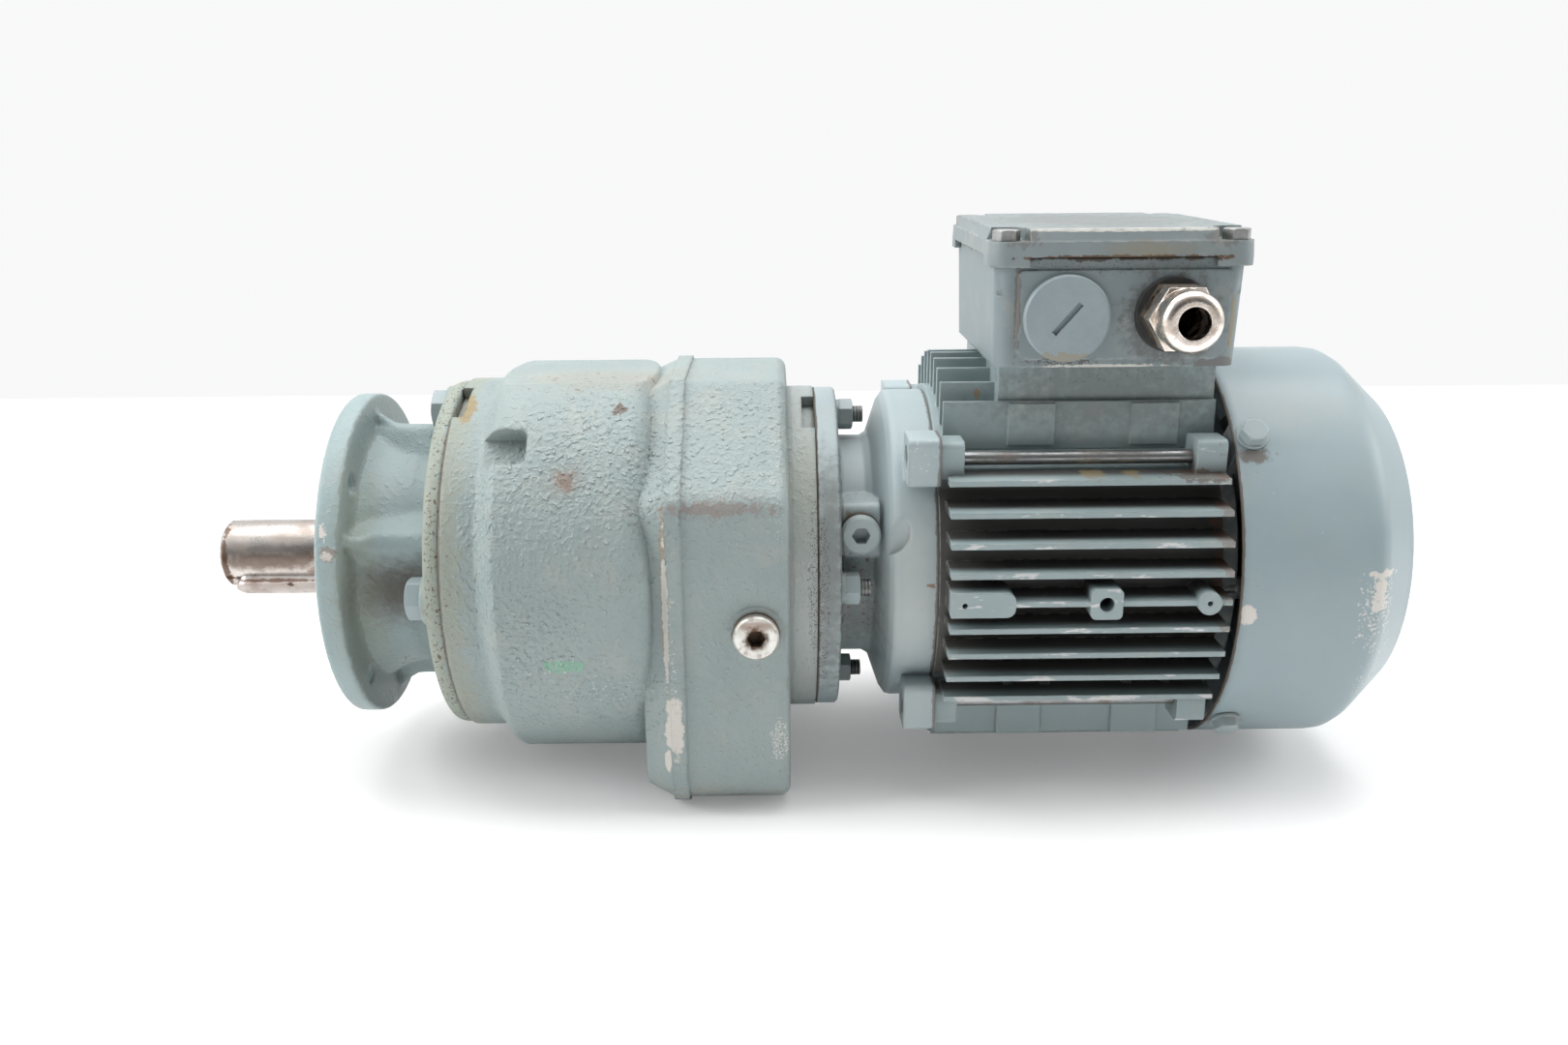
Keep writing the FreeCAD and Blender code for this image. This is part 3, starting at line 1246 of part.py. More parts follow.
def terminal_nuts():
    x, y, z = board_origin()
    seat = z + board[2] + link_t
    nuts = []
    for px, py in terminal_places():
        nut = hex_prism(terminal_nut_af, terminal_nut_t, Vec(px, py, seat), Vec(0, 0, 1))
        nuts.append(nut.cut(Part.makeCylinder(terminal_d / 2, terminal_nut_t, Vec(px, py, seat))))
    return plain(nuts)


def terminal_links():
    """Three brass links joining the stud pairs across the board."""
    x, y, z = board_origin()
    seat = z + board[2]
    links = []
    for i in (-1, 0, 1):
        px = x + terminal_pitch[0] * i
        reach = terminal_pitch[1] / 2 + link_w / 2
        link = slab((px - link_w / 2, px + link_w / 2), (y - reach, y + reach), (seat, seat + link_t))
        pins = [Part.makeCylinder(terminal_d / 2, 2, Vec(px, y + j * terminal_pitch[1] / 2, seat - 0.5))
                for j in (-1, 1)]
        links.append(drilled(link, pins))
    return plain(links)


def oil_seal(x0, outer, shaft, z=0.0):
    return tube(x0, x0 + seal_t, outer, shaft + 2 * seal_clear, 0, z)


panel_y = -bulge_half_w - 0.6
nodes = {
    "output_flange": output_flange(),
    "flange_bolts": flange_bolts(),
    "gearcase": gearcase(),
    "output_seal": oil_seal(seal_x, seal_d, seal_land_d),
    "gearbox_bearing_outer_rings": plain([
        outer_ring(output_front_bearing, front_bearing_x),
        outer_ring(output_rear_bearing, output_rear_x),
        outer_ring(layshaft_rear_bearing, layshaft_rear_x, layshaft_z)]),
    "layshaft_needle_bush": tube(case_x + 1, case_x + 1 + needle_bearing[2], needle_bearing[0],
                                 needle_bearing[1], 0, layshaft_z),
    "case_oil_plug": socket_plug(plug_head_d, plug_head_t, plug_thread_d, plug_thread_len, plug_x, plug_z,
                                 panel_y - washer_t),
    "case_plug_washer": plug_washer(plug_head_d, plug_thread_d, plug_x, plug_z, panel_y),
    "motor_flange": motor_flange(),
    "neck_oil_plug": socket_plug(neck_plug_head_d, plug_head_t, plug_thread_d, plug_thread_len - 1, boss_middle(),
                                 neck_plug_z, -boss_face - washer_t),
    "neck_plug_washer": plug_washer(neck_plug_head_d, plug_thread_d, boss_middle(), neck_plug_z, -boss_face),
    "motor_studs": motor_studs(),
    "stud_nuts": stud_nuts(),
    "stud_washers": stud_washers(),
    "motor_seal": oil_seal(motor_seal_x, motor_seal_d, motor_front_bearing[1], motor_z),
    "motor_bearing_outer_rings": plain([
        outer_ring(motor_front_bearing, motor_front_x, motor_z),
        outer_ring(motor_rear_bearing, motor_rear_x, motor_z)]),
    "stator_housing": stator_housing(),
    "stator_core": stator_core(),
    "stator_windings": stator_windings(),
    "tie_rods": tie_rods(),
    "rear_endshield": rear_endshield(),
    "endshield_screws": shield_screws(),
    "fan_cowl": fan_cowl(),
    "cowl_screws": cowl_screws(),
    "terminal_box": terminal_box(),
    "box_foot_seal": box_foot_seal(),
    "lid_seal": lid_seal(),
    "terminal_box_lid": terminal_box_lid(),
    "lid_screws": lid_screws(),
    "terminal_board": terminal_board(),
    "terminal_studs": terminal_studs(),
    "terminal_nuts": terminal_nuts(),
    "terminal_links": terminal_links(),
    "blanking_plug": blanking_plug(),
    "gland_seal": gland_seal(),
    "gland_body": gland_body(),
    "gland_nut": gland_nut(),
    "gland_locknut": gland_locknut(),
    "output_shaft": output_shaft(),
    "shaft_key": shaft_key(),
    "output_wheel": output_wheel(),
    "output_wheel_key": output_wheel_key(),
    "output_bearing_inner_rings": plain([
        inner_ring(output_front_bearing, front_bearing_x),
        inner_ring(output_rear_bearing, output_rear_x)]),
    "layshaft": layshaft(),
    "middle_wheel": middle_wheel(),
    "middle_wheel_key": middle_wheel_key(),
    "layshaft_collar": layshaft_collar(),
    "layshaft_bearing_inner_ring": inner_ring(layshaft_rear_bearing, layshaft_rear_x, layshaft_z),
    "motor_shaft": motor_shaft(),
    "motor_pinion": motor_pinion(),
    "rotor_core": rotor_core(),
    "rotor_end_rings": rotor_end_rings(),
    "motor_bearing_inner_rings": plain([
        inner_ring(motor_front_bearing, motor_front_x, motor_z),
        inner_ring(motor_rear_bearing, motor_rear_x, motor_z)]),
    "fan": fan(),
}

os.makedirs("parts", exist_ok=True)
for name, shape in nodes.items():
    shape.exportStep("parts/%s.step" % name)
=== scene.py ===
import math
import bpy
from mathutils import Matrix, Vector


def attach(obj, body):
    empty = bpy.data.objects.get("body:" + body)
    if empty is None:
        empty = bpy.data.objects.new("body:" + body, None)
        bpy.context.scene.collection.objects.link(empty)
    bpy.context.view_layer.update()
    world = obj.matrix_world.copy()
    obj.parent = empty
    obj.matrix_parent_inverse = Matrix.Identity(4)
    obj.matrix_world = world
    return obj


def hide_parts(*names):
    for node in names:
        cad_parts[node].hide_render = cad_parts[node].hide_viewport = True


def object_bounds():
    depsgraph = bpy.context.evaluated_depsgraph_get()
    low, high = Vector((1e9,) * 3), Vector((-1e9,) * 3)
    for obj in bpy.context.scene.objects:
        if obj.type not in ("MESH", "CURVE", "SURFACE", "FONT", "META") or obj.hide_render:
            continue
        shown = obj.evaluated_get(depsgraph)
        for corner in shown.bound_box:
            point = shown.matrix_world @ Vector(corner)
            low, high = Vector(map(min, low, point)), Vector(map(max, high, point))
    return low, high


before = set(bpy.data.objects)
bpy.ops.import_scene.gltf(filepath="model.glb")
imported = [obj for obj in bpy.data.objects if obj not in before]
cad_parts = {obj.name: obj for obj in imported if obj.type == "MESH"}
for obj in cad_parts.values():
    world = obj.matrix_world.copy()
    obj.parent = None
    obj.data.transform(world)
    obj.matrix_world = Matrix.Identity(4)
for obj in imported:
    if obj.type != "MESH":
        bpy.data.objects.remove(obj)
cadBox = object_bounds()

print("frame loaded:", len(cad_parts), "nodes")

lowest = cadBox[0][2]
partMiddle = 0.15  # along X; the lamps aim at it
motorHeight = 0.002  # the motor's axis over the output shaft's axis


# camera and studio

cameraSetup = {
    "place": (0.15508, -0.47537, 0.14956),
    "turn": (73.620, 0.422, -0.574),  # degrees about X, Y and Z
    "lens": 29.87,
    "sensor": 36.0,
}

studio = {
    "floorColour": (0.96, 0.955, 0.955, 1),
    "floorLift": 0.20,  # how much of the floor is plain white to the camera
    "backColour": (0.945, 0.945, 0.95, 1),
    "skyLight": 0.72,
    "skyDark": 0.05,  # the dim side of the room, at -Y
    "skySpan": (-1.0, 0.1),  # a ray's Y, from the dim to the light side
    "glossSpan": (-0.75, -0.05),  # a glossy ray's Y, from the dim room to the backdrop
    "floorSize": 8,
    "floorBack": 0.736,  # where the floor ends behind the part
    "floorSpan": (0.45, 1.3),  # distance over which the floor turns plain white
    "topSize": (1.3, 0.9),
    "topPlace": (0.18, 0.15, 1.05),
    "topPower": 13.5,
    "sideSize": (0.7, 0.7),
    "leftPlace": (-0.95, -0.15, 0.65),
    "leftPower": 11.0,
    "rightPlace": (1.25, -0.10, 0.60),
    "rightPower": 5.5,
}


def addNode(tree, kind, sockets=None, **settings):
    node = tree.nodes.new(kind)
    for key, value in settings.items():
        setattr(node, key, value)
    for key, value in (sockets or {}).items():
        if isinstance(value, bpy.types.NodeSocket):
            tree.links.new(value, node.inputs[key])
        else:
            node.inputs[key].default_value = value
    return node


def calc(tree, operation, *values, clamp=False):
    sockets = dict(enumerate(values))
    return addNode(tree, "ShaderNodeMath", sockets, operation=operation, use_clamp=clamp).outputs[0]


def tint(tree, amount, below, above):
    node = addNode(tree, "ShaderNodeMix", {0: amount, 6: below, 7: above}, data_type="RGBA")
    return node.outputs[2]


def ramp(tree, value, span, result=(0.0, 1.0), smooth=False):
    sockets = {"Value": value, "From Min": span[0], "From Max": span[1], "To Min": result[0], "To Max": result[1]}
    kind = "SMOOTHSTEP" if smooth else "LINEAR"
    return addNode(tree, "ShaderNodeMapRange", sockets, interpolation_type=kind).outputs[0]


def rgb(colour):
    return (*colour, 1.0)


def setCamera():
    data = bpy.data.cameras.new("viewCamera")
    data.lens = cameraSetup["lens"]
    data.sensor_width = cameraSetup["sensor"]
    data.clip_start = 0.01
    camera = bpy.data.objects.new("viewCamera", data)
    bpy.context.collection.objects.link(camera)
    camera.location = cameraSetup["place"]
    camera.rotation_euler = [math.radians(a) for a in cameraSetup["turn"]]
    bpy.context.scene.camera = camera


def setWorld():
    world = bpy.data.worlds.new("studioWorld")
    world.use_nodes = True
    bpy.context.scene.world = world
    tree = world.node_tree
    tree.nodes.clear()
    path = addNode(tree, "ShaderNodeLightPath")
    towards = addNode(tree, "ShaderNodeTexCoord").outputs["Generated"]
    side = addNode(tree, "ShaderNodeSeparateXYZ", {0: towards}).outputs[1]
    # gloss shows the pale backdrop, and the dim room on the side away from it
    backdrop = ramp(tree, side, studio["glossSpan"])
    gloss = calc(tree, "MULTIPLY", path.outputs["Is Glossy Ray"], backdrop)
    seen = calc(tree, "ADD", path.outputs["Is Camera Ray"], path.outputs["Is Transmission Ray"])
    seen = calc(tree, "ADD", seen, gloss, clamp=True)
    strength = ramp(tree, side, studio["skySpan"], (studio["skyDark"], studio["skyLight"]))
    light = addNode(tree, "ShaderNodeBackground", {"Color": (1, 1, 1, 1), "Strength": strength})
    back = addNode(tree, "ShaderNodeBackground", {"Color": studio["backColour"], "Strength": 1.0})
    both = addNode(tree, "ShaderNodeMixShader", {0: seen, 1: light.outputs[0], 2: back.outputs[0]})
    addNode(tree, "ShaderNodeOutputWorld", {"Surface": both.outputs[0]})


def addSoftLight(name, place, size, power):
    data = bpy.data.lights.new(name, "AREA")
    data.shape = "RECTANGLE"
    data.size, data.size_y = size
    data.energy = power
    lamp = bpy.data.objects.new(name, data)
    bpy.context.collection.objects.link(lamp)
    lamp.location = place
    lamp.rotation_euler = (Vector((partMiddle, 0, 0)) - Vector(place)).to_track_quat("-Z", "Y").to_euler()


def makeFloor():
    size = studio["floorSize"]
    bpy.ops.mesh.primitive_grid_add(x_subdivisions=2, y_subdivisions=2, size=size, location=(partMiddle, 0, 0))
    floor = bpy.context.object
    floor.name = "studioFloor"
    for vert in floor.data.vertices:
        if vert.co.y > 0.49 * size:  # the back edge
            vert.co.y = studio["floorBack"]
    floor.location.z = lowest
    material = bpy.data.materials.new("paleFloor")
    material.use_nodes = True
    tree = material.node_tree
    tree.nodes.clear()
    path = addNode(tree, "ShaderNodeLightPath")
    plain = addNode(tree, "ShaderNodeBsdfDiffuse", {"Color": studio["floorColour"]})
    white = addNode(tree, "ShaderNodeEmission", {"Color": (1, 1, 1, 1), "Strength": 1.0})
    place = addNode(tree, "ShaderNodeTexCoord").outputs["Object"]
    away = addNode(tree, "ShaderNodeVectorMath", {0: place}, operation="LENGTH").outputs["Value"]
    share = ramp(tree, away, studio["floorSpan"], (studio["floorLift"], 1.0))
    lift = calc(tree, "MULTIPLY", path.outputs["Is Camera Ray"], share)
    both = addNode(tree, "ShaderNodeMixShader", {0: lift, 1: plain.outputs[0], 2: white.outputs[0]})
    addNode(tree, "ShaderNodeOutputMaterial", {"Surface": both.outputs[0]})
    floor.data.materials.append(material)


bpy.ops.object.select_all(action="DESELECT")
setCamera()
setWorld()
addSoftLight("topLight", studio["topPlace"], studio["topSize"], studio["topPower"])
addSoftLight("leftLight", studio["leftPlace"], studio["sideSize"], studio["leftPower"])
addSoftLight("rightLight", studio["rightPlace"], studio["sideSize"], studio["rightPower"])
makeFloor()
bpy.context.scene.view_settings.view_transform = "Standard"
print("camera and studio set")


# shared effects

def newGroup(name, inputs, outputs):
    tree = bpy.data.node_groups.new(name, "ShaderNodeTree")
    for label, kind, value in inputs:
        socket = tree.interface.new_socket(label, in_out="INPUT", socket_type="NodeSocket" + kind)
        if value is not None:
            socket.default_value = value
    for label, kind in outputs:
        tree.interface.new_socket(label, in_out="OUTPUT", socket_type="NodeSocket" + kind)
    return tree, tree.nodes.new("NodeGroupInput").outputs, tree.nodes.new("NodeGroupOutput").inputs


def buildBlotch():
    tree, given, result = newGroup("blotch", [
        ("Vector", "Vector", None), ("Scale", "Float", 100.0), ("Level", "Float", 0.6),
        ("Softness", "Float", 0.05)], [("Mask", "Float")])
    noise = addNode(tree, "ShaderNodeTexNoise", {"Vector": given["Vector"], "Scale": given["Scale"],
                                                 "Detail": 4.0, "Roughness": 0.62})
    low = calc(tree, "SUBTRACT", given["Level"], given["Softness"])
    high = calc(tree, "ADD", given["Level"], given["Softness"])
    tree.links.new(ramp(tree, noise.outputs[0], (low, high), smooth=True), result["Mask"])
    return tree


def buildPatch():
    # a ragged spot round a place, as wide as its reach along each axis
    tree, given, result = newGroup("patch", [
        ("Vector", "Vector", None), ("Place", "Vector", (0, 0, 0)), ("Reach", "Vector", (0.01, 0.01, 0.01)),
        ("Ragged", "Float", 0.6), ("Scale", "Float", 300.0), ("Softness", "Float", 0.12)], [("Mask", "Float")])
    away = addNode(tree, "ShaderNodeVectorMath", {0: given["Vector"], 1: given["Place"]}, operation="SUBTRACT")
    share = addNode(tree, "ShaderNodeVectorMath", {0: away.outputs[0], 1: given["Reach"]}, operation="DIVIDE")
    length = addNode(tree, "ShaderNodeVectorMath", {0: share.outputs[0]}, operation="LENGTH").outputs["Value"]
    noise = addNode(tree, "ShaderNodeTexNoise", {"Vector": given["Vector"], "Scale": given["Scale"],
                                                 "Detail": 5.0, "Roughness": 0.65})
    shift = calc(tree, "MULTIPLY", calc(tree, "SUBTRACT", noise.outputs[0], 0.5), 4.0)  # about -1 to 1
    ragged = calc(tree, "ADD", length, calc(tree, "MULTIPLY", shift, given["Ragged"]))
    inner = calc(tree, "SUBTRACT", 1.0, given["Softness"])
    outer = calc(tree, "ADD", 1.0, given["Softness"])
    tree.links.new(ramp(tree, ragged, (inner, outer), (1.0, 0.0), smooth=True), result["Mask"])
    return tree


wornEdge = (0.985, 0.80)  # the cosine of the turn from the flat face to the middle of an edge


def buildSoftEdges():
    # rounds the shading of sharp edges and masks them for wear
    tree, given, result = newGroup("softEdges", [("Radius", "Float", 0.001)],
                                   [("Normal", "Vector"), ("Edge", "Float")])
    bevel = addNode(tree, "ShaderNodeBevel", {"Radius": given["Radius"]}, samples=6)
    true = addNode(tree, "ShaderNodeNewGeometry").outputs["Normal"]
    dot = addNode(tree, "ShaderNodeVectorMath", {0: bevel.outputs[0], 1: true}, operation="DOT_PRODUCT")
    tree.links.new(bevel.outputs[0], result["Normal"])
    tree.links.new(ramp(tree, dot.outputs["Value"], wornEdge), result["Edge"])
    return tree


castSkin = {
    "hillSpan": (0.38, 0.72),
    "crestHighlightSpan": (0.55, 0.66),  # of the hills
    "pitSpan": (0.36, 0.28),  # of the hills
    "pebbleSpan": (0.55, 0.10),  # where a pebble gets the painted highlight
    "pebbleHighlightSpan": (0.26, 0.16),  # where a pebble is bright
    "warp": 0.0012,
    "pebbleHeight": 0.8,
    "pebbleBase": 0.35,
    "fineHeight": 0.16,
}


def buildCastGrain():
    # height of a sand cast skin: fine grain, and round lumps where the mask allows, with painted highlights on their
    # crests
    tree, given, result = newGroup("castGrain", [
        ("Vector", "Vector", None), ("Fine", "Float", 900.0), ("Coarse", "Float", 420.0),
        ("Lumps", "Float", 0.0)], [("Height", "Float"), ("CrestHighlight", "Float"), ("Pits", "Float")])
    fine = addNode(tree, "ShaderNodeTexNoise", {"Vector": given["Vector"], "Scale": given["Fine"], "Detail": 3.0,
                                                "Roughness": 0.6}).outputs[0]
    hills = addNode(tree, "ShaderNodeTexNoise", {"Vector": given["Vector"], "Scale": given["Coarse"], "Detail": 2.0,
                                                 "Roughness": 0.5}).outputs[0]
    shift = calc(tree, "MULTIPLY", hills, castSkin["warp"])
    warped = addNode(tree, "ShaderNodeVectorMath", {0: given["Vector"], 1: shift}, operation="ADD").outputs[0]
    cells = addNode(tree, "ShaderNodeTexVoronoi", {"Vector": warped, "Scale": given["Coarse"], "Smoothness": 0.5},
                    feature="SMOOTH_F1").outputs["Distance"]
    pebble = calc(tree, "MULTIPLY", ramp(tree, cells, castSkin["pebbleSpan"], smooth=True), castSkin["pebbleHeight"])
    lump = ramp(tree, hills, castSkin["hillSpan"], smooth=True)
    lump = calc(tree, "MULTIPLY", lump, calc(tree, "ADD", pebble, castSkin["pebbleBase"]))
    lump = calc(tree, "MULTIPLY", lump, given["Lumps"])
    height = calc(tree, "ADD", calc(tree, "MULTIPLY", fine, castSkin["fineHeight"]), lump)
    # painted highlight: a pale dot on the crest of each lump
    crestHighlight = ramp(tree, hills, castSkin["crestHighlightSpan"])
    crestHighlight = calc(tree, "MULTIPLY", crestHighlight, ramp(tree, cells, castSkin["pebbleHighlightSpan"]))
    pits = ramp(tree, hills, castSkin["pitSpan"])
    tree.links.new(height, result["Height"])
    tree.links.new(calc(tree, "MULTIPLY", crestHighlight, given["Lumps"]), result["CrestHighlight"])
    tree.links.new(calc(tree, "MULTIPLY", pits, given["Lumps"]), result["Pits"])
    return tree


def buildRadial():
    # distance from an axis along X at the given height
    tree, given, result = newGroup("radial", [("Vector", "Vector", None), ("Height", "Float", 0.0)],
                                   [("Distance", "Float")])
    parts = addNode(tree, "ShaderNodeSeparateXYZ", {0: given["Vector"]}).outputs
    up = calc(tree, "SUBTRACT", parts[2], given["Height"])
    square = calc(tree, "ADD", calc(tree, "MULTIPLY", parts[1], parts[1]), calc(tree, "MULTIPLY", up, up))
    tree.links.new(calc(tree, "SQRT", square), result["Distance"])
    return tree


groups = {"blotch": buildBlotch(), "patch": buildPatch(), "softEdges": buildSoftEdges(),
          "castGrain": buildCastGrain(), "radial": buildRadial()}


def linkGroup(tree, name, sockets):
    node = tree.nodes.new("ShaderNodeGroup")
    node.node_tree = groups[name]
    for key, value in sockets.items():
        if isinstance(value, bpy.types.NodeSocket):
            tree.links.new(value, node.inputs[key])
        else:
            node.inputs[key].default_value = value
    return node.outputs


markColours = {
    "primerAndLight": (0.62, 0.59, 0.55), "metal": (0.66, 0.66, 0.65), "rust": (0.20, 0.085, 0.04),
    "grimeAndShade": (0.085, 0.070, 0.055), "oil": (0.30, 0.235, 0.12), "green": (0.06, 0.55, 0.20),
    "worn": (0.25, 0.20, 0.18), "tan": (0.36, 0.27, 0.18), "paleAndLight": (0.62, 0.62, 0.58),
    "umber": (0.10, 0.055, 0.030), "olive": (0.30, 0.28, 0.17),
}

skinColours = {
    "pit": (0.16, 0.14, 0.12), "crestHighlight": (0.63, 0.65, 0.60), "dust": (0.42, 0.39, 0.33),
    # slot is the painted shade deep in the slots between the fins
    "speck": (0.12, 0.09, 0.07), "slot": (0.055, 0.05, 0.045),
}

spotKinds = {  # scale, level and softness of the blotches
    "enamelTone": (28.0, 0.5, 0.22), "dust": (75.0, 0.60, 0.10), "speck": (700.0, 0.71, 0.02),
    "rub": (230.0, 0.60, 0.03), "wear": (220.0, 0.50, 0.08), "metalTone": (150.0, 0.5, 0.15),
    "mouldTone": (120.0, 0.5, 0.2),
}


def blotch(tree, place, scale, level, softness):
    sockets = {"Vector": place, "Scale": scale, "Level": level, "Softness": softness}
    return linkGroup(tree, "blotch", sockets)["Mask"]


def spots(tree, place, kind):
    return blotch(tree, place, *spotKinds[kind])


def axisPart(tree, place, index):
    return addNode(tree, "ShaderNodeSeparateXYZ", {0: place}).outputs[index]


chipSoftness = 0.02


def addMark(tree, place, colour, mark):
    # a mark is a colour's name, a centre, a reach along X, Y and Z, and what differs from the usual options
    kind, centre, reach = mark[:3]
    options = {"Ragged": 0.6, "Scale": 300.0, "Softness": 0.12}
    options.update(mark[3] if len(mark) > 3 else {})
    strength = options.pop("strength", 1.0)
    chips = options.pop("chips", None)  # scale and level of the chips that the mark is broken into
    sockets = {"Vector": place, "Place": centre, "Reach": reach, **options}
    mask = linkGroup(tree, "patch", sockets)["Mask"]
    if chips:
        mask = calc(tree, "MULTIPLY", mask, blotch(tree, place, *chips, chipSoftness))
    amount = calc(tree, "MULTIPLY", mask, strength)
    return tint(tree, amount, colour, rgb(markColours[kind])), amount


def startMaterial(name):
    material = bpy.data.materials.new(name)
    material.use_nodes = True
    tree = material.node_tree
    tree.nodes.clear()
    shader = addNode(tree, "ShaderNodeBsdfPrincipled")
    addNode(tree, "ShaderNodeOutputMaterial", {"Surface": shader.outputs[0]})
    place = addNode(tree, "ShaderNodeTexCoord").outputs["Object"]
    return material, tree, shader, place


def linkSkin(tree, shader, colour, roughness, height, depth, normal):
    bump = addNode(tree, "ShaderNodeBump", {"Strength": 1.0, "Distance": depth, "Height": height, "Normal": normal})
    tree.links.new(colour, shader.inputs["Base Color"])
    tree.links.new(roughness, shader.inputs["Roughness"])
    tree.links.new(bump.outputs[0], shader.inputs["Normal"])


enamelBase = {
    "colour": (0.33, 0.40, 0.40), "second": (0.37, 0.44, 0.43), "roughness": 0.40, "edgeRadius": 0.0012,
    "edgeWear": 0.25, "fine": 1500.0, "coarse": 520.0, "lumps": 0.0, "depth": 0.0003, "speckle": 0.0,
    "dust": 0.15, "pits": 0.35, "crestHighlights": 0.75, "toneRough": 0.10, "markRough": 0.15, "marks": [],
    "lumpPlaces": [],  # centre, reach and amount of each rough patch
    "fins": 0.0,  # the amount of painted shade in the slots between the fins
}

lumpEdge = {"Ragged": 0.10, "Scale": 40.0, "Softness": 0.45}

finZone = {
    "deep": (0.0712, 0.0655),  # radius from a fin's tip down into the slot
    "side": (0.046, 0.050),  # distance from the middle plane to the side fins
    "tip": (0.0719, 0.0722),
    "rub": 0.8,
    "rubStretch": (0.25, 1, 1),
}


def addFinShadeAndWear(tree, place, colour, amount):
    # painted shade in the slots between the side fins, darker deeper down, and bare metal worn on their tips
    far = linkGroup(tree, "radial", {"Vector": place, "Height": motorHeight})["Distance"]
    side = ramp(tree, calc(tree, "ABSOLUTE", axisPart(tree, place, 1)), finZone["side"])
    # painted shade: darker towards the bottom of each slot between the side fins
    deep = calc(tree, "MULTIPLY", ramp(tree, far, finZone["deep"], smooth=True), side)
    colour = tint(tree, calc(tree, "MULTIPLY", deep, amount), colour, rgb(skinColours["slot"]))
    stretched = addNode(tree, "ShaderNodeMapping", {"Vector": place, "Scale": finZone["rubStretch"]}).outputs[0]
    rub = calc(tree, "MULTIPLY", calc(tree, "MULTIPLY", spots(tree, stretched, "rub"), side), finZone["rub"])
    tip = ramp(tree, far, finZone["tip"])
    return tint(tree, calc(tree, "MULTIPLY", rub, tip), colour, rgb(markColours["metal"]))


def makeEnamel(name, **changes):
    look = {**enamelBase, **changes}
    material, tree, shader, place = startMaterial(name)
    soft = linkGroup(tree, "softEdges", {"Radius": look["edgeRadius"]})
    tone = spots(tree, place, "enamelTone")
    colour = tint(tree, tone, rgb(look["colour"]), rgb(look["second"]))
    lumps = look["lumps"]
    for centre, reach, amount in look["lumpPlaces"]:
        here = linkGroup(tree, "patch", {"Vector": place, "Place": centre, "Reach": reach, **lumpEdge})["Mask"]
        lumps = calc(tree, "MAXIMUM", lumps, calc(tree, "MULTIPLY", here, amount))
    grain = linkGroup(tree, "castGrain", {"Vector": place, "Fine": look["fine"], "Coarse": look["coarse"],
                                          "Lumps": lumps})
    pits = calc(tree, "MULTIPLY", grain["Pits"], look["pits"])
    colour = tint(tree, pits, colour, rgb(skinColours["pit"]))
    # painted highlights on the crests of the cast lumps
    crestHighlights = calc(tree, "MULTIPLY", grain["CrestHighlight"], look["crestHighlights"])
    colour = tint(tree, crestHighlights, colour, rgb(skinColours["crestHighlight"]))
    if look["dust"]:
        dusty = calc(tree, "MULTIPLY", spots(tree, place, "dust"), look["dust"])
        colour = tint(tree, dusty, colour, rgb(skinColours["dust"]))
    if look["speckle"]:
        specks = calc(tree, "MULTIPLY", spots(tree, place, "speck"), look["speckle"])
        colour = tint(tree, specks, colour, rgb(skinColours["speck"]))
    roughness = calc(tree, "ADD", look["roughness"], calc(tree, "MULTIPLY", tone, look["toneRough"]))
    if look["fins"]:
        colour = addFinShadeAndWear(tree, place, colour, look["fins"])
    if look["edgeWear"]:
        edge = calc(tree, "MULTIPLY", soft["Edge"], spots(tree, place, "wear"))
        edge = calc(tree, "MULTIPLY", edge, look["edgeWear"])
        colour = tint(tree, edge, colour, rgb(markColours["paleAndLight"]))
    for mark in look["marks"]:
        colour, amount = addMark(tree, place, colour, mark)
        roughness = calc(tree, "ADD", roughness, calc(tree, "MULTIPLY", amount, look["markRough"]))
    linkSkin(tree, shader, colour, roughness, grain["Height"], look["depth"], soft["Normal"])
    return material


metalBase = {
    "colour": (0.50, 0.50, 0.49), "second": (0.42, 0.42, 0.41), "metallic": 1.0, "roughness": 0.30,
    "edgeRadius": 0.0004, "stain": 0.0, "stainColour": (0.16, 0.085, 0.05), "stainScale": 90.0, "stainLevel": 0.55,
    "stainSoftness": 0.09, "stainRough": 0.25, "stainDull": 0.6, "toneRough": 0.12, "markRough": 0.3,
    "stretch": (1, 1, 1), "lathe": False, "grain": 2500.0, "depth": 0.00004, "marks": [],
    "thread": 0.0, "threadTint": 0.6,  # the thread's pitch, and how dark its grooves are
}

latheLines = (1, 0.02, 0.02)  # drawn out round the axis


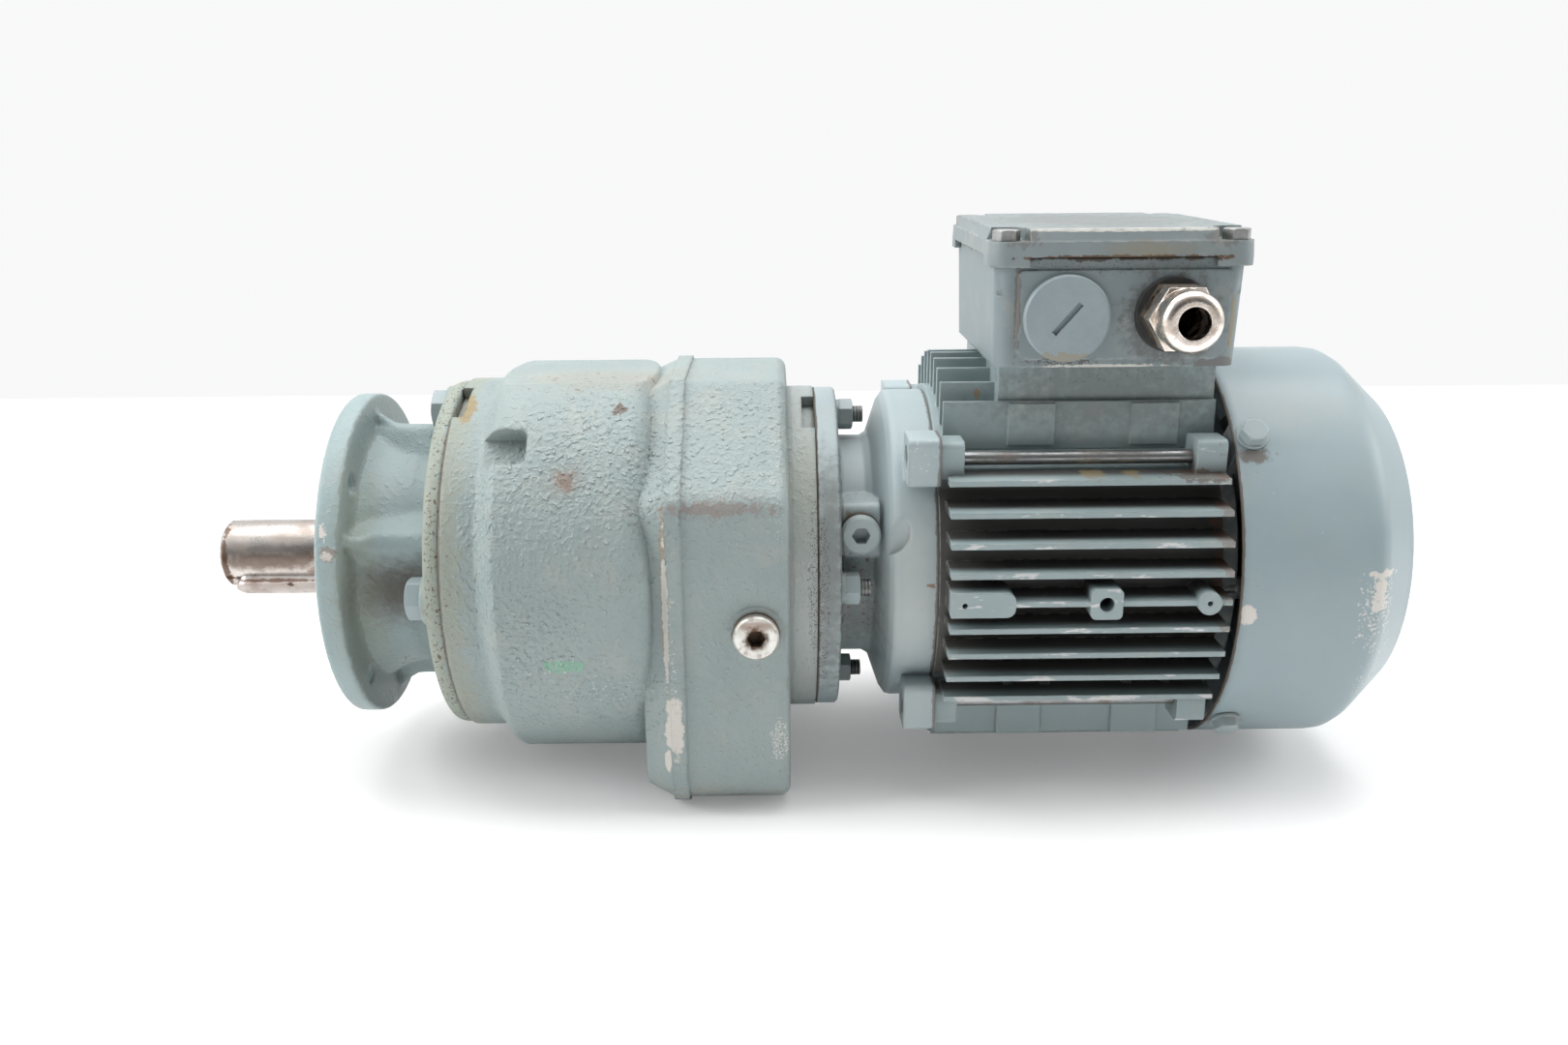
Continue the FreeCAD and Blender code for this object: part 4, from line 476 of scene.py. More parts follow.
def makeMetal(name, **changes):
    look = {**metalBase, **changes}
    material, tree, shader, place = startMaterial(name)
    soft = linkGroup(tree, "softEdges", {"Radius": look["edgeRadius"]})
    tone = spots(tree, place, "metalTone")
    colour = tint(tree, tone, rgb(look["colour"]), rgb(look["second"]))
    roughness = calc(tree, "ADD", look["roughness"], calc(tree, "MULTIPLY", tone, look["toneRough"]))
    shader.inputs["Metallic"].default_value = look["metallic"]
    if look["stain"]:
        drawn = addNode(tree, "ShaderNodeMapping", {"Vector": place, "Scale": look["stretch"]}).outputs[0]
        stain = blotch(tree, drawn, look["stainScale"], look["stainLevel"], look["stainSoftness"])
        stain = calc(tree, "MULTIPLY", stain, look["stain"])
        colour = tint(tree, stain, colour, rgb(look["stainColour"]))
        roughness = calc(tree, "ADD", roughness, calc(tree, "MULTIPLY", stain, look["stainRough"]))
        dull = calc(tree, "MULTIPLY", stain, look["stainDull"])
        tree.links.new(calc(tree, "SUBTRACT", look["metallic"], dull, clamp=True), shader.inputs["Metallic"])
    for mark in look["marks"]:
        colour, amount = addMark(tree, place, colour, mark)
        rough = calc(tree, "MULTIPLY", amount, look["markRough"])
        roughness = calc(tree, "ADD", roughness, rough, clamp=True)
    if look["thread"]:
        turns = calc(tree, "MULTIPLY", axisPart(tree, place, 0), 2 * math.pi / look["thread"])
        height = calc(tree, "SINE", turns)
        groove = calc(tree, "MULTIPLY", height, -look["threadTint"], clamp=True)
        colour = tint(tree, groove, colour, rgb(markColours["grimeAndShade"]))
    else:
        scale = latheLines if look["lathe"] else (1, 1, 1)
        lines = addNode(tree, "ShaderNodeMapping", {"Vector": place, "Scale": scale}).outputs[0]
        sockets = {"Vector": lines, "Scale": look["grain"], "Detail": 2.0}
        height = addNode(tree, "ShaderNodeTexNoise", sockets).outputs[0]
    linkSkin(tree, shader, colour, roughness, height, look["depth"], soft["Normal"])
    return material


mouldingBase = {"roughness": 0.55, "grain": 1200.0, "depth": 0.00008, "edgeRadius": 0.0005, "toneRough": 0.08,
                "marks": []}


def makeMoulding(name, **changes):
    look = {**mouldingBase, **changes}
    material, tree, shader, place = startMaterial(name)
    soft = linkGroup(tree, "softEdges", {"Radius": look["edgeRadius"]})
    tone = spots(tree, place, "mouldTone")
    colour = tint(tree, tone, rgb(look["colour"]), rgb(look["second"]))
    for mark in look["marks"]:
        colour, amount = addMark(tree, place, colour, mark)
    sockets = {"Vector": place, "Scale": look["grain"], "Detail": 3.0}
    height = addNode(tree, "ShaderNodeTexNoise", sockets).outputs[0]
    roughness = calc(tree, "ADD", look["roughness"], calc(tree, "MULTIPLY", tone, look["toneRough"]))
    linkSkin(tree, shader, colour, roughness, height, look["depth"], soft["Normal"])
    return material


print("shared effects built")


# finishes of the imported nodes

ringReach = 1.0  # so wide that the mark goes all the way round


def ring(kind, x, width, **options):
    return (kind, (x, 0, 0), (width, ringReach, ringReach), options)


gearcaseMarks = [
    ring("olive", 0.0440, 0.0060, Ragged=0.7, Scale=140.0, strength=0.35, Softness=0.5),
    ring("umber", 0.0431, 0.0006, Ragged=0.5, Scale=180.0, strength=0.7),
    ring("umber", 0.0437, 0.0035, Ragged=0.5, Scale=180.0, strength=0.8, chips=(850.0, 0.66)),
    # painted light: a soft pale band all round the rear collar
    ring("primerAndLight", 0.1645, 0.0045, Ragged=0.2, Softness=0.6, strength=0.22),
    ring("grimeAndShade", 0.1605, 0.0012, Ragged=0.6, Scale=90.0, strength=0.2),
    ("grimeAndShade", (0.1690, -0.060, 0.008), (0.0026, 0.02, 0.034), {"strength": 0.75, "chips": (1700.0, 0.56)}),
    ("olive", (0.1660, -0.050, 0.038), (0.0060, 0.02, 0.022), {"strength": 0.18, "Softness": 0.4}),
    ("umber", (0.1683, -0.0293, 0.0600), (0.0034, 0.0045, 0.0060), {"Ragged": 0.5, "strength": 0.8}),
    ("oil", (0.0480, -0.0250, 0.0600), (0.0032, 0.0080, 0.0085), {"Ragged": 0.4, "strength": 0.9}),
    ("worn", (0.1365, -0.0686, 0.0345), (0.0195, 0.005, 0.0018), {"Ragged": 1.1, "Scale": 420.0, "strength": 0.6}),
    ("worn", (0.1380, -0.0680, 0.0370), (0.0190, 0.006, 0.0060), {"strength": 0.6, "chips": (1300.0, 0.56)}),
    ("primerAndLight", (0.1205, -0.0686, -0.043), (0.0030, 0.006, 0.0110), {"Ragged": 0.45, "Scale": 220.0}),
    ("primerAndLight", (0.1178, -0.0686, -0.056), (0.0012, 0.006, 0.0040), {"Ragged": 0.40, "Scale": 260.0}),
    ("tan", (0.1182, -0.0686, 0.004), (0.0014, 0.006, 0.0310), {"Ragged": 0.5, "Scale": 200.0, "strength": 0.5}),
    ("paleAndLight", (0.1184, -0.0686, 0.000), (0.0010, 0.006, 0.0240), {"Ragged": 0.6, "Scale": 260.0, "strength": 0.9}),
    ("paleAndLight", (0.1195, -0.0686, -0.020), (0.0022, 0.006, 0.0280), {"strength": 0.8, "chips": (1500.0, 0.60)}),
    ("paleAndLight", (0.1565, -0.0686, -0.048), (0.0030, 0.008, 0.0065), {"strength": 0.95, "chips": (1500.0, 0.53)}),
    ("paleAndLight", (0.1560, -0.0600, 0.0480), (0.0030, 0.020, 0.0300), {"strength": 0.7, "chips": (1200.0, 0.62)}),
    ("rust", (0.0861, -0.0598, 0.0424), (0.0030, 0.004, 0.0032), {"Ragged": 0.8, "Softness": 0.5, "strength": 0.5}),
    ("rust", (0.0861, -0.0598, 0.0424), (0.0060, 0.006, 0.0055), {"Softness": 0.6, "strength": 0.18}),
    ("green", (0.0845, -0.0708, -0.0190), (0.0080, 0.006, 0.0022), {"chips": (2100.0, 0.55), "Ragged": 0.9}),
    ("paleAndLight", (0.0790, -0.0720, -0.0190), (0.0170, 0.008, 0.0040), {"strength": 0.7, "chips": (850.0, 0.63)}),
    ("paleAndLight", (0.0960, -0.0700, -0.0300), (0.0170, 0.010, 0.0070), {"strength": 0.6, "chips": (850.0, 0.63)}),
    ("umber", (0.0860, -0.0710, -0.0050), (0.0110, 0.008, 0.0110), {"strength": 0.9, "chips": (820.0, 0.68)}),
    ("umber", (0.0790, -0.0710, -0.0180), (0.0110, 0.008, 0.0050), {"strength": 0.8, "chips": (820.0, 0.66)}),
    ("umber", (0.0950, -0.0180, 0.0690), (0.0260, 0.014, 0.0050), {"strength": 0.7, "chips": (420.0, 0.62)}),
    ("tan", (0.0960, -0.0150, 0.0695), (0.0280, 0.016, 0.0060), {"Softness": 0.5, "strength": 0.28}),
    ("umber", (0.1026, -0.0380, 0.0612), (0.0026, 0.0028, 0.0026), {"Ragged": 1.0, "Scale": 420.0, "strength": 0.8}),
    ("tan", (0.1350, -0.0600, -0.0700), (0.0220, 0.020, 0.0050), {"strength": 0.5, "chips": (500.0, 0.55)}),
    ("paleAndLight", (0.0700, -0.0560, 0.0400), (0.0280, 0.030, 0.0340), {"strength": 0.45, "chips": (1000.0, 0.66)}),
]

flangeMarks = [
    ("primerAndLight", (0.0030, -0.0552, 0.0240), (0.0012, 0.003, 0.0018), {"Ragged": 1.3, "Scale": 700.0}),
    ("worn", (0.0048, -0.0574, 0.0172), (0.0024, 0.003, 0.0024), {"Ragged": 1.0, "Scale": 600.0, "strength": 0.8}),
    ("primerAndLight", (0.0044, -0.0574, 0.0166), (0.0018, 0.003, 0.0014), {"Ragged": 1.0, "Scale": 600.0, "strength": 0.8}),
    ring("olive", 0.0395, 0.0035, Ragged=0.8, Scale=160.0, strength=0.45, Softness=0.4),
    ring("umber", 0.0412, 0.0030, Ragged=0.5, Scale=180.0, strength=0.85, chips=(850.0, 0.60)),
    ring("grimeAndShade", 0.0085, 0.0010, Ragged=0.8, Scale=150.0, strength=0.3),
    # painted shade: a soft dark patch under the ridge on the neck's front
    ("grimeAndShade", (0.0250, -0.0430, -0.0020), (0.0150, 0.018, 0.0110), {"Softness": 0.7, "strength": 0.85, "Ragged": 0.3}),
    ("olive", (0.0110, -0.0400, 0.0000), (0.0060, 0.030, 0.0400), {"Softness": 0.6, "strength": 0.25}),
    ("umber", (0.0192, -0.0237, -0.0383), (0.0060, 0.010, 0.0060), {"strength": 0.7, "chips": (600.0, 0.56)}),
    ("tan", (0.0192, -0.0237, -0.0390), (0.0050, 0.010, 0.0004), {"Ragged": 0.2}),
]

motorFlangeMarks = [
    ring("umber", 0.1698, 0.0006, Ragged=0.4, Scale=150.0, strength=0.8),
    ("umber", (0.1712, -0.060, 0.000), (0.0024, 0.02, 0.036), {"strength": 0.9, "chips": (1900.0, 0.57)}),
    ("grimeAndShade", (0.1735, -0.058, 0.010), (0.0045, 0.02, 0.050), {"Softness": 0.6, "strength": 0.5}),
    ring("grimeAndShade", 0.1782, 0.0009, Ragged=0.7, Scale=150.0, strength=0.5),
    ("rust", (0.2082, -0.0579, 0.0040), (0.0016, 0.003, 0.0009), {"Ragged": 0.9, "Scale": 700.0}),
    ("rust", (0.1950, -0.0547, 0.0211), (0.0009, 0.002, 0.0009), {"Ragged": 0.9, "Scale": 700.0}),
    ("rust", (0.1850, -0.0410, 0.0050), (0.0090, 0.012, 0.0280), {"strength": 0.8, "chips": (700.0, 0.62)}),
    ("oil", (0.1805, -0.0400, 0.0220), (0.0020, 0.012, 0.0070), {"Ragged": 0.6, "strength": 0.7}),
    ("grimeAndShade", (0.1850, -0.0380, -0.0130), (0.0100, 0.014, 0.0160), {"Softness": 0.7, "strength": 0.45}),
    ring("umber", 0.2106, 0.0008, Ragged=0.8, Scale=220.0, strength=0.6),
    # painted light: a soft pale patch over the front of the bell's rim
    ("paleAndLight", (0.2020, -0.0575, -0.004), (0.0080, 0.010, 0.042), {"Softness": 0.7, "Ragged": 0.2, "strength": 0.3}),
    # painted shade: a soft dark band round the bell's cone
    ring("grimeAndShade", 0.1850, 0.0110, Ragged=0.1, Softness=0.6, strength=0.16),
    ("paleAndLight", (0.2040, -0.0560, 0.0500), (0.0060, 0.010, 0.0120), {"strength": 0.8, "chips": (600.0, 0.62)}),
]

cowlMarks = [
    ("primerAndLight", (0.3555, -0.0722, 0.0040), (0.0030, 0.006, 0.0060), {"Ragged": 0.9, "Scale": 330.0}),
    ("primerAndLight", (0.3570, -0.0722, 0.0110), (0.0052, 0.006, 0.0014), {"Ragged": 0.9, "Scale": 400.0}),
    ("paleAndLight", (0.3560, -0.0720, -0.0010), (0.0075, 0.006, 0.0140), {"strength": 0.85, "chips": (900.0, 0.56)}),
    ("primerAndLight", (0.3115, -0.0724, -0.0020), (0.0030, 0.006, 0.0036), {"Ragged": 0.4, "Scale": 200.0}),
    ("paleAndLight", (0.3600, -0.0660, -0.0280), (0.0060, 0.020, 0.0200), {"strength": 0.85, "chips": (1000.0, 0.60)}),
    ("paleAndLight", (0.3300, -0.0690, 0.0250), (0.0240, 0.020, 0.0350), {"strength": 0.5, "chips": (420.0, 0.71)}),
    ("tan", (0.3350, -0.0410, 0.0615), (0.0180, 0.014, 0.0060), {"Softness": 0.7, "strength": 0.12}),
    ("oil", (0.3600, -0.0300, 0.0674), (0.0050, 0.008, 0.0040), {"Ragged": 0.8, "strength": 0.12}),
    ("rust", (0.3150, -0.0513, -0.0520), (0.0060, 0.006, 0.0030), {"Ragged": 0.8, "Softness": 0.4, "strength": 0.6}),
    ("umber", (0.3150, -0.0560, 0.0478), (0.0052, 0.006, 0.0022), {"Ragged": 0.6, "Softness": 0.3, "strength": 0.7}),
    ("umber", (0.3120, -0.0600, 0.0400), (0.0050, 0.030, 0.0500), {"strength": 0.6, "chips": (700.0, 0.68)}),
    ring("umber", 0.3088, 0.0006, Ragged=0.5, Scale=200.0, strength=0.8),
]

boxMarks = [
    ("oil", (0.3062, -0.0500, 0.0905), (0.0010, 0.006, 0.0100), {"Ragged": 0.5, "Scale": 160.0, "strength": 0.55}),
    ("umber", (0.3030, -0.0500, 0.0775), (0.0100, 0.006, 0.0018), {"Ragged": 0.7, "Scale": 220.0, "strength": 0.45}),
    ("paleAndLight", (0.2640, -0.0495, 0.0770), (0.0200, 0.006, 0.0005), {"Ragged": 0.8, "Scale": 420.0, "strength": 0.9}),
    ("grimeAndShade", (0.2510, -0.0500, 0.0785), (0.0160, 0.006, 0.0016), {"strength": 0.8, "chips": (1200.0, 0.50)}),
    ("grimeAndShade", (0.2686, 0.0, 0.1122), (0.06, 0.06, 0.0012), {"Ragged": 0.6, "Scale": 220.0, "strength": 0.9}),
    ("umber", (0.2350, -0.0500, 0.0950), (0.0010, 0.006, 0.0150), {"Ragged": 0.8, "Scale": 320.0, "strength": 0.45}),
    ("umber", (0.2686, -0.0500, 0.1098), (0.0360, 0.006, 0.0026), {"strength": 0.45, "chips": (1100.0, 0.58)}),
    ("umber", (0.2510, -0.0500, 0.0910), (0.0155, 0.010, 0.0155), {"strength": 0.6, "chips": (1100.0, 0.64)}),
    ("grimeAndShade", (0.2856, -0.0500, 0.0925), (0.0145, 0.006, 0.0145), {"Softness": 0.3, "strength": 0.55}),
]

lidMarks = [
    ("paleAndLight", (0.2690, -0.0500, 0.1214), (0.0340, 0.003, 0.0008), {"Ragged": 0.3, "Scale": 260.0}),
    ("umber", (0.2686, -0.0514, 0.1124), (0.0300, 0.004, 0.0010), {"Ragged": 0.7, "Scale": 300.0, "strength": 0.95}),
    ("oil", (0.2760, -0.0514, 0.1150), (0.0120, 0.006, 0.0026), {"Softness": 0.6, "strength": 0.35}),
    ("grimeAndShade", (0.2686, -0.0030, 0.1216), (0.0380, 0.042, 0.0020), {"Softness": 0.5, "strength": 0.35}),
    ("umber", (0.2686, -0.0030, 0.1216), (0.0420, 0.048, 0.0020), {"strength": 0.4, "chips": (340.0, 0.65)}),
    ("umber", (0.2360, -0.0480, 0.1190), (0.0060, 0.006, 0.0030), {"Ragged": 0.8, "strength": 0.3}),
    ("umber", (0.3010, -0.0480, 0.1190), (0.0060, 0.006, 0.0030), {"Ragged": 0.8, "strength": 0.3}),
]

finMarks = [
    ("oil", (0.2620, -0.0530, 0.0410), (0.0040, 0.006, 0.0016), {"Ragged": 0.9, "Scale": 260.0, "strength": 0.6}),
    ("oil", (0.2750, -0.0530, 0.0410), (0.0030, 0.006, 0.0016), {"Ragged": 0.9, "Scale": 260.0, "strength": 0.6}),
    ("umber", (0.2980, -0.0560, 0.0410), (0.0100, 0.008, 0.0018), {"Ragged": 0.9, "Scale": 200.0, "strength": 0.6}),
    ("rust", (0.3050, -0.0650, 0.0200), (0.0030, 0.010, 0.0300), {"Ragged": 0.9, "Scale": 200.0, "strength": 0.4}),
    ("grimeAndShade", (0.2700, -0.0420, 0.0670), (0.0420, 0.014, 0.0120), {"Softness": 0.6, "strength": 0.42}),
    ("umber", (0.2690, -0.0400, 0.0730), (0.0400, 0.014, 0.0050), {"strength": 0.35, "Softness": 0.4,
                                                                   "chips": (900.0, 0.62)}),
    ("paleAndLight", (0.2400, -0.0704, 0.0170), (0.0250, 0.006, 0.0007), {"Ragged": 0.5, "Scale": 260.0, "strength": 0.9}),
    ("paleAndLight", (0.2380, -0.0690, -0.0222), (0.0240, 0.006, 0.0007), {"Ragged": 0.5, "Scale": 260.0, "strength": 0.9}),
    ("tan", (0.2259, -0.0316, 0.0645), (0.0010, 0.006, 0.0022), {"Ragged": 0.8, "Scale": 420.0}),
]

shaftMarks = [
    ("umber", (-0.0330, -0.0120, 0.0005), (0.0220, 0.006, 0.0034), {"Ragged": 0.7, "Scale": 150.0, "Softness": 0.5,
                                                                    "strength": 0.75}),
    ("umber", (-0.0500, -0.0090, 0.0), (0.0014, 0.02, 0.0130), {"Ragged": 0.7, "Scale": 260.0, "strength": 0.8}),
    ("umber", (-0.0330, -0.0120, -0.0065), (0.0220, 0.008, 0.0010), {"Ragged": 0.6, "strength": 0.9}),
    ("rust", (-0.0120, -0.0090, 0.0), (0.0060, 0.02, 0.0040), {"Ragged": 1.2, "Scale": 200.0, "strength": 0.4}),
]

keyMarks = [
    ("grimeAndShade", (-0.0260, -0.0150, -0.0085), (0.0012, 0.006, 0.0009), {"Ragged": 0.6, "Scale": 600.0, "strength": 0.9}),
    ("umber", (-0.0330, -0.0150, -0.0070), (0.0200, 0.006, 0.0006), {"Ragged": 0.5, "strength": 0.7}),
    ("rust", (-0.0330, -0.0150, -0.0100), (0.0220, 0.008, 0.0040), {"Softness": 0.6, "strength": 0.3}),
]

plugMarks = [
    ("umber", (0.1487, -0.0700, -0.0090), (0.0038, 0.02, 0.0038), {"Ragged": 0.35, "Scale": 500.0, "Softness": 0.35,
                                                                   "strength": 0.9}),
    ("rust", (0.1487, -0.0700, -0.0045), (0.0060, 0.02, 0.0016), {"Ragged": 0.5, "Softness": 0.4, "strength": 0.5}),
]

enamelLooks = {
    "gearcaseEnamel": dict(colour=(0.250, 0.313, 0.313), second=(0.292, 0.353, 0.346),
                           depth=0.00095, lumps=0.26, edgeRadius=0.0025, edgeWear=0.12, speckle=0.4,
                           dust=0.22, marks=gearcaseMarks, lumpPlaces=[
                               ((0.095, -0.055, 0.036), (0.034, 0.045, 0.036), 0.9),
                               ((0.072, -0.060, 0.010), (0.024, 0.040, 0.050), 0.8),
                               ((0.090, -0.060, -0.035), (0.036, 0.040, 0.022), 0.6),
                               ((0.140, -0.050, 0.054), (0.030, 0.040, 0.022), 0.45)]),
    "flangeEnamel": dict(colour=(0.265, 0.345, 0.350), second=(0.305, 0.385, 0.390),
                         depth=0.0009, lumps=0.22, edgeRadius=0.0020, edgeWear=0.12,
                         dust=0.15, marks=flangeMarks),
    "bellEnamel": dict(colour=(0.335, 0.41, 0.43), second=(0.375, 0.45, 0.465), depth=0.0004,
                       edgeRadius=0.0018, edgeWear=0.2, speckle=0.35, marks=motorFlangeMarks),
    "finEnamel": dict(colour=(0.27, 0.34, 0.35), second=(0.30, 0.375, 0.385), depth=0.00018,
                      edgeRadius=0.0007, edgeWear=0.5, fins=0.95, dust=0.2, marks=finMarks),
    "shieldEnamel": dict(colour=(0.20, 0.23, 0.24), second=(0.16, 0.18, 0.18), dust=0.5),
    "cowlEnamel": dict(colour=(0.265, 0.34, 0.365), second=(0.29, 0.365, 0.385),
                       roughness=0.28, depth=0.00008, fine=500.0, edgeRadius=0.0050, edgeWear=0.04,
                       dust=0.08, marks=cowlMarks),
    "boxEnamel": dict(colour=(0.196, 0.244, 0.258), second=(0.226, 0.274, 0.288),
                      depth=0.00015, edgeRadius=0.0012, edgeWear=0.35, dust=0.2, marks=boxMarks),
    "lidEnamel": dict(colour=(0.195, 0.235, 0.245), second=(0.230, 0.270, 0.277),
                      depth=0.00015, edgeRadius=0.0012, edgeWear=0.5, dust=0.25, marks=lidMarks),
    "plugEnamel": dict(colour=(0.30, 0.36, 0.37), second=(0.34, 0.40, 0.40), depth=0.0001,
                       edgeRadius=0.0006, edgeWear=0.9, dust=0.3),
    "paintedScrew": dict(colour=(0.27, 0.33, 0.345), second=(0.32, 0.38, 0.39),
                         depth=0.0001, edgeRadius=0.0005, edgeWear=0.9, dust=0.4, roughness=0.35),
}

metalLooks = {
    "shaftSteel": dict(colour=(0.60, 0.57, 0.54), second=(0.50, 0.46, 0.43), roughness=0.22,
                       stain=0.45, stainScale=70.0, stainLevel=0.57, stretch=(0.5, 0.5, 2.2), lathe=True,
                       marks=shaftMarks),
    "keySteel": dict(colour=(0.58, 0.55, 0.53), second=(0.47, 0.44, 0.42), roughness=0.28,
                     stain=0.4, marks=keyMarks),
    "zincSteel": dict(colour=(0.42, 0.43, 0.42), second=(0.30, 0.31, 0.31), roughness=0.36,
                      stain=0.35, stainScale=260.0, stainLevel=0.60),
    "studZinc": dict(colour=(0.42, 0.43, 0.42), second=(0.30, 0.31, 0.31), roughness=0.36,
                     thread=0.00125, depth=0.0002, stain=0.35, stainScale=260.0, stainLevel=0.60),
    "plugZinc": dict(colour=(0.66, 0.66, 0.63), second=(0.55, 0.54, 0.50), roughness=0.34,
                     stain=0.5, stainScale=300.0, stainLevel=0.60, marks=plugMarks),
    "rodSteel": dict(colour=(0.36, 0.37, 0.37), second=(0.28, 0.29, 0.29), roughness=0.30,
                     stain=0.4, stainScale=120.0, stainLevel=0.58),
    "gearSteel": dict(colour=(0.36, 0.35, 0.34), second=(0.28, 0.27, 0.26), roughness=0.22),
    "bearingSteel": dict(colour=(0.62, 0.62, 0.61), second=(0.56, 0.56, 0.55), roughness=0.15,
                         lathe=True),
    "coreSteel": dict(colour=(0.20, 0.20, 0.20), second=(0.15, 0.15, 0.15), roughness=0.5,
                      lathe=True, depth=0.0002),
    "castAluminium": dict(colour=(0.60, 0.60, 0.60), second=(0.52, 0.52, 0.52),
                          roughness=0.45, depth=0.0001),
    "windingCopper": dict(colour=(0.42, 0.16, 0.06), second=(0.30, 0.10, 0.04),
                          roughness=0.35, metallic=0.7, lathe=True, depth=0.0004),
    "glandNickel": dict(colour=(0.92, 0.84, 0.78), second=(0.76, 0.67, 0.59), roughness=0.16,
                        stain=0.4, stainScale=170.0, stainLevel=0.56, stainColour=(0.16, 0.10, 0.045),
                        edgeRadius=0.0006),
    "glandWorn": dict(colour=(0.34, 0.29, 0.24), second=(0.22, 0.18, 0.14), roughness=0.24,
                      stain=0.7, stainScale=190.0, stainLevel=0.50, stainColour=(0.08, 0.06, 0.045),
                      edgeRadius=0.0006),
    "washerCopper": dict(colour=(0.20, 0.12, 0.08), second=(0.12, 0.08, 0.06), roughness=0.5),
    "plainBrass": dict(colour=(0.62, 0.44, 0.16), second=(0.50, 0.34, 0.12), roughness=0.28),
}

mouldingLooks = {
    "blackRubber": dict(colour=(0.016, 0.016, 0.017), second=(0.03, 0.03, 0.03), roughness=0.6),
    "boardMoulding": dict(colour=(0.06, 0.03, 0.015), second=(0.08, 0.04, 0.02), roughness=0.4),
    "fanNylon": dict(colour=(0.02, 0.02, 0.02), second=(0.035, 0.035, 0.035), roughness=0.5),
    "plugMoulding": dict(colour=(0.25, 0.31, 0.335), second=(0.28, 0.34, 0.36), roughness=0.42, marks=[
        ("oil", (0.2510, -0.0530, 0.0800), (0.0120, 0.010, 0.0020), {"Ragged": 1.0, "Scale": 300.0, "strength": 0.5})]),
}

finishes = {name: makeEnamel(name, **look) for name, look in enamelLooks.items()}
finishes.update({name: makeMetal(name, **look) for name, look in metalLooks.items()})
finishes.update({name: makeMoulding(name, **look) for name, look in mouldingLooks.items()})

finishOf = {
    "gearcaseEnamel": ["gearcase"],
    "flangeEnamel": ["output_flange"],
    "bellEnamel": ["motor_flange"],
    "finEnamel": ["stator_housing"],
    "shieldEnamel": ["rear_endshield"],
    "cowlEnamel": ["fan_cowl"],
    "boxEnamel": ["terminal_box"],
    "lidEnamel": ["terminal_box_lid"],
    "plugEnamel": ["neck_oil_plug"],
    "plugZinc": ["case_oil_plug"],
    "paintedScrew": ["flange_bolts", "stud_nuts", "stud_washers", "cowl_screws"],
    "zincSteel": ["lid_screws", "endshield_screws"],
    "studZinc": ["motor_studs"],
    "rodSteel": ["tie_rods"],
    "shaftSteel": ["output_shaft"],
    "keySteel": ["shaft_key"],
    "gearSteel": ["output_wheel", "output_wheel_key", "layshaft", "middle_wheel", "middle_wheel_key",
                  "layshaft_collar", "motor_shaft", "motor_pinion"],
    "bearingSteel": ["gearbox_bearing_outer_rings", "motor_bearing_outer_rings", "layshaft_needle_bush",
                     "output_bearing_inner_rings", "layshaft_bearing_inner_ring", "motor_bearing_inner_rings"],
    "coreSteel": ["stator_core", "rotor_core"],
    "castAluminium": ["rotor_end_rings"],
    "windingCopper": ["stator_windings"],
    "washerCopper": ["case_plug_washer", "neck_plug_washer"],
    "glandNickel": ["gland_nut"],
    "glandWorn": ["gland_body", "gland_locknut"],
    "plainBrass": ["terminal_studs", "terminal_nuts", "terminal_links"],
    "blackRubber": ["output_seal", "motor_seal", "gland_seal", "box_foot_seal", "lid_seal"],
    "boardMoulding": ["terminal_board"],
    "fanNylon": ["fan"],
    "plugMoulding": ["blanking_plug"],
}

for finish, names in finishOf.items():
    for name in names:
        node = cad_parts[name]
        node.data.materials.clear()
        node.data.materials.append(finishes[finish])
print("finishes set on", sum(len(names) for names in finishOf.values()), "nodes")


# the output flange's soft casting

neckCast = {
    "merge": 0.000002,
    "voxel": 0.0007,
    "lap": 0.001,  # how far the flare runs into the flange
    "skinDepth": 0.002,  # how far the flare runs into the neck
    "wall": 0.004,  # nothing deeper in the neck is softened
    "flareStep": 5,  # degrees
    "spinSteps": 144,
    "backFace": 0.008,
    "neckRadius": 0.041,
    "flareRun": 0.017,
    "flareRise": 0.009,
    "flareLimit": 0.0465,  # inside the bolt holes
    "ridgeAngles": (21, 90, 159, 270),
    "ridgeStart": 0.0075,
    "ridgeEnd": 0.0378,
    "ridgeLow": 0.037,
    "ridgeHigh": 0.0490,
    "ridgeRoot": 0.024,
    "ridgeTip": 0.25,  # share of the root's width
    "softFrom": 0.0090,
    "softTo": 0.0345,
    "softRamp": 0.0025,
    "evenSteps": 3,
    "castSteps": 36,
    "keep": 0.42,
}


def mergedCopy(node, name):
    source = bpy.data.objects[node]
    piece = bpy.data.objects.new(name, source.data.copy())
    bpy.context.collection.objects.link(piece)
    bpy.ops.object.select_all(action="DESELECT")
    bpy.context.view_layer.objects.active = piece
    piece.select_set(True)
    bpy.ops.object.mode_set(mode="EDIT")
    bpy.ops.mesh.select_all(action="SELECT")
    bpy.ops.mesh.remove_doubles(threshold=neckCast["merge"])
    bpy.ops.object.mode_set(mode="OBJECT")
    return piece


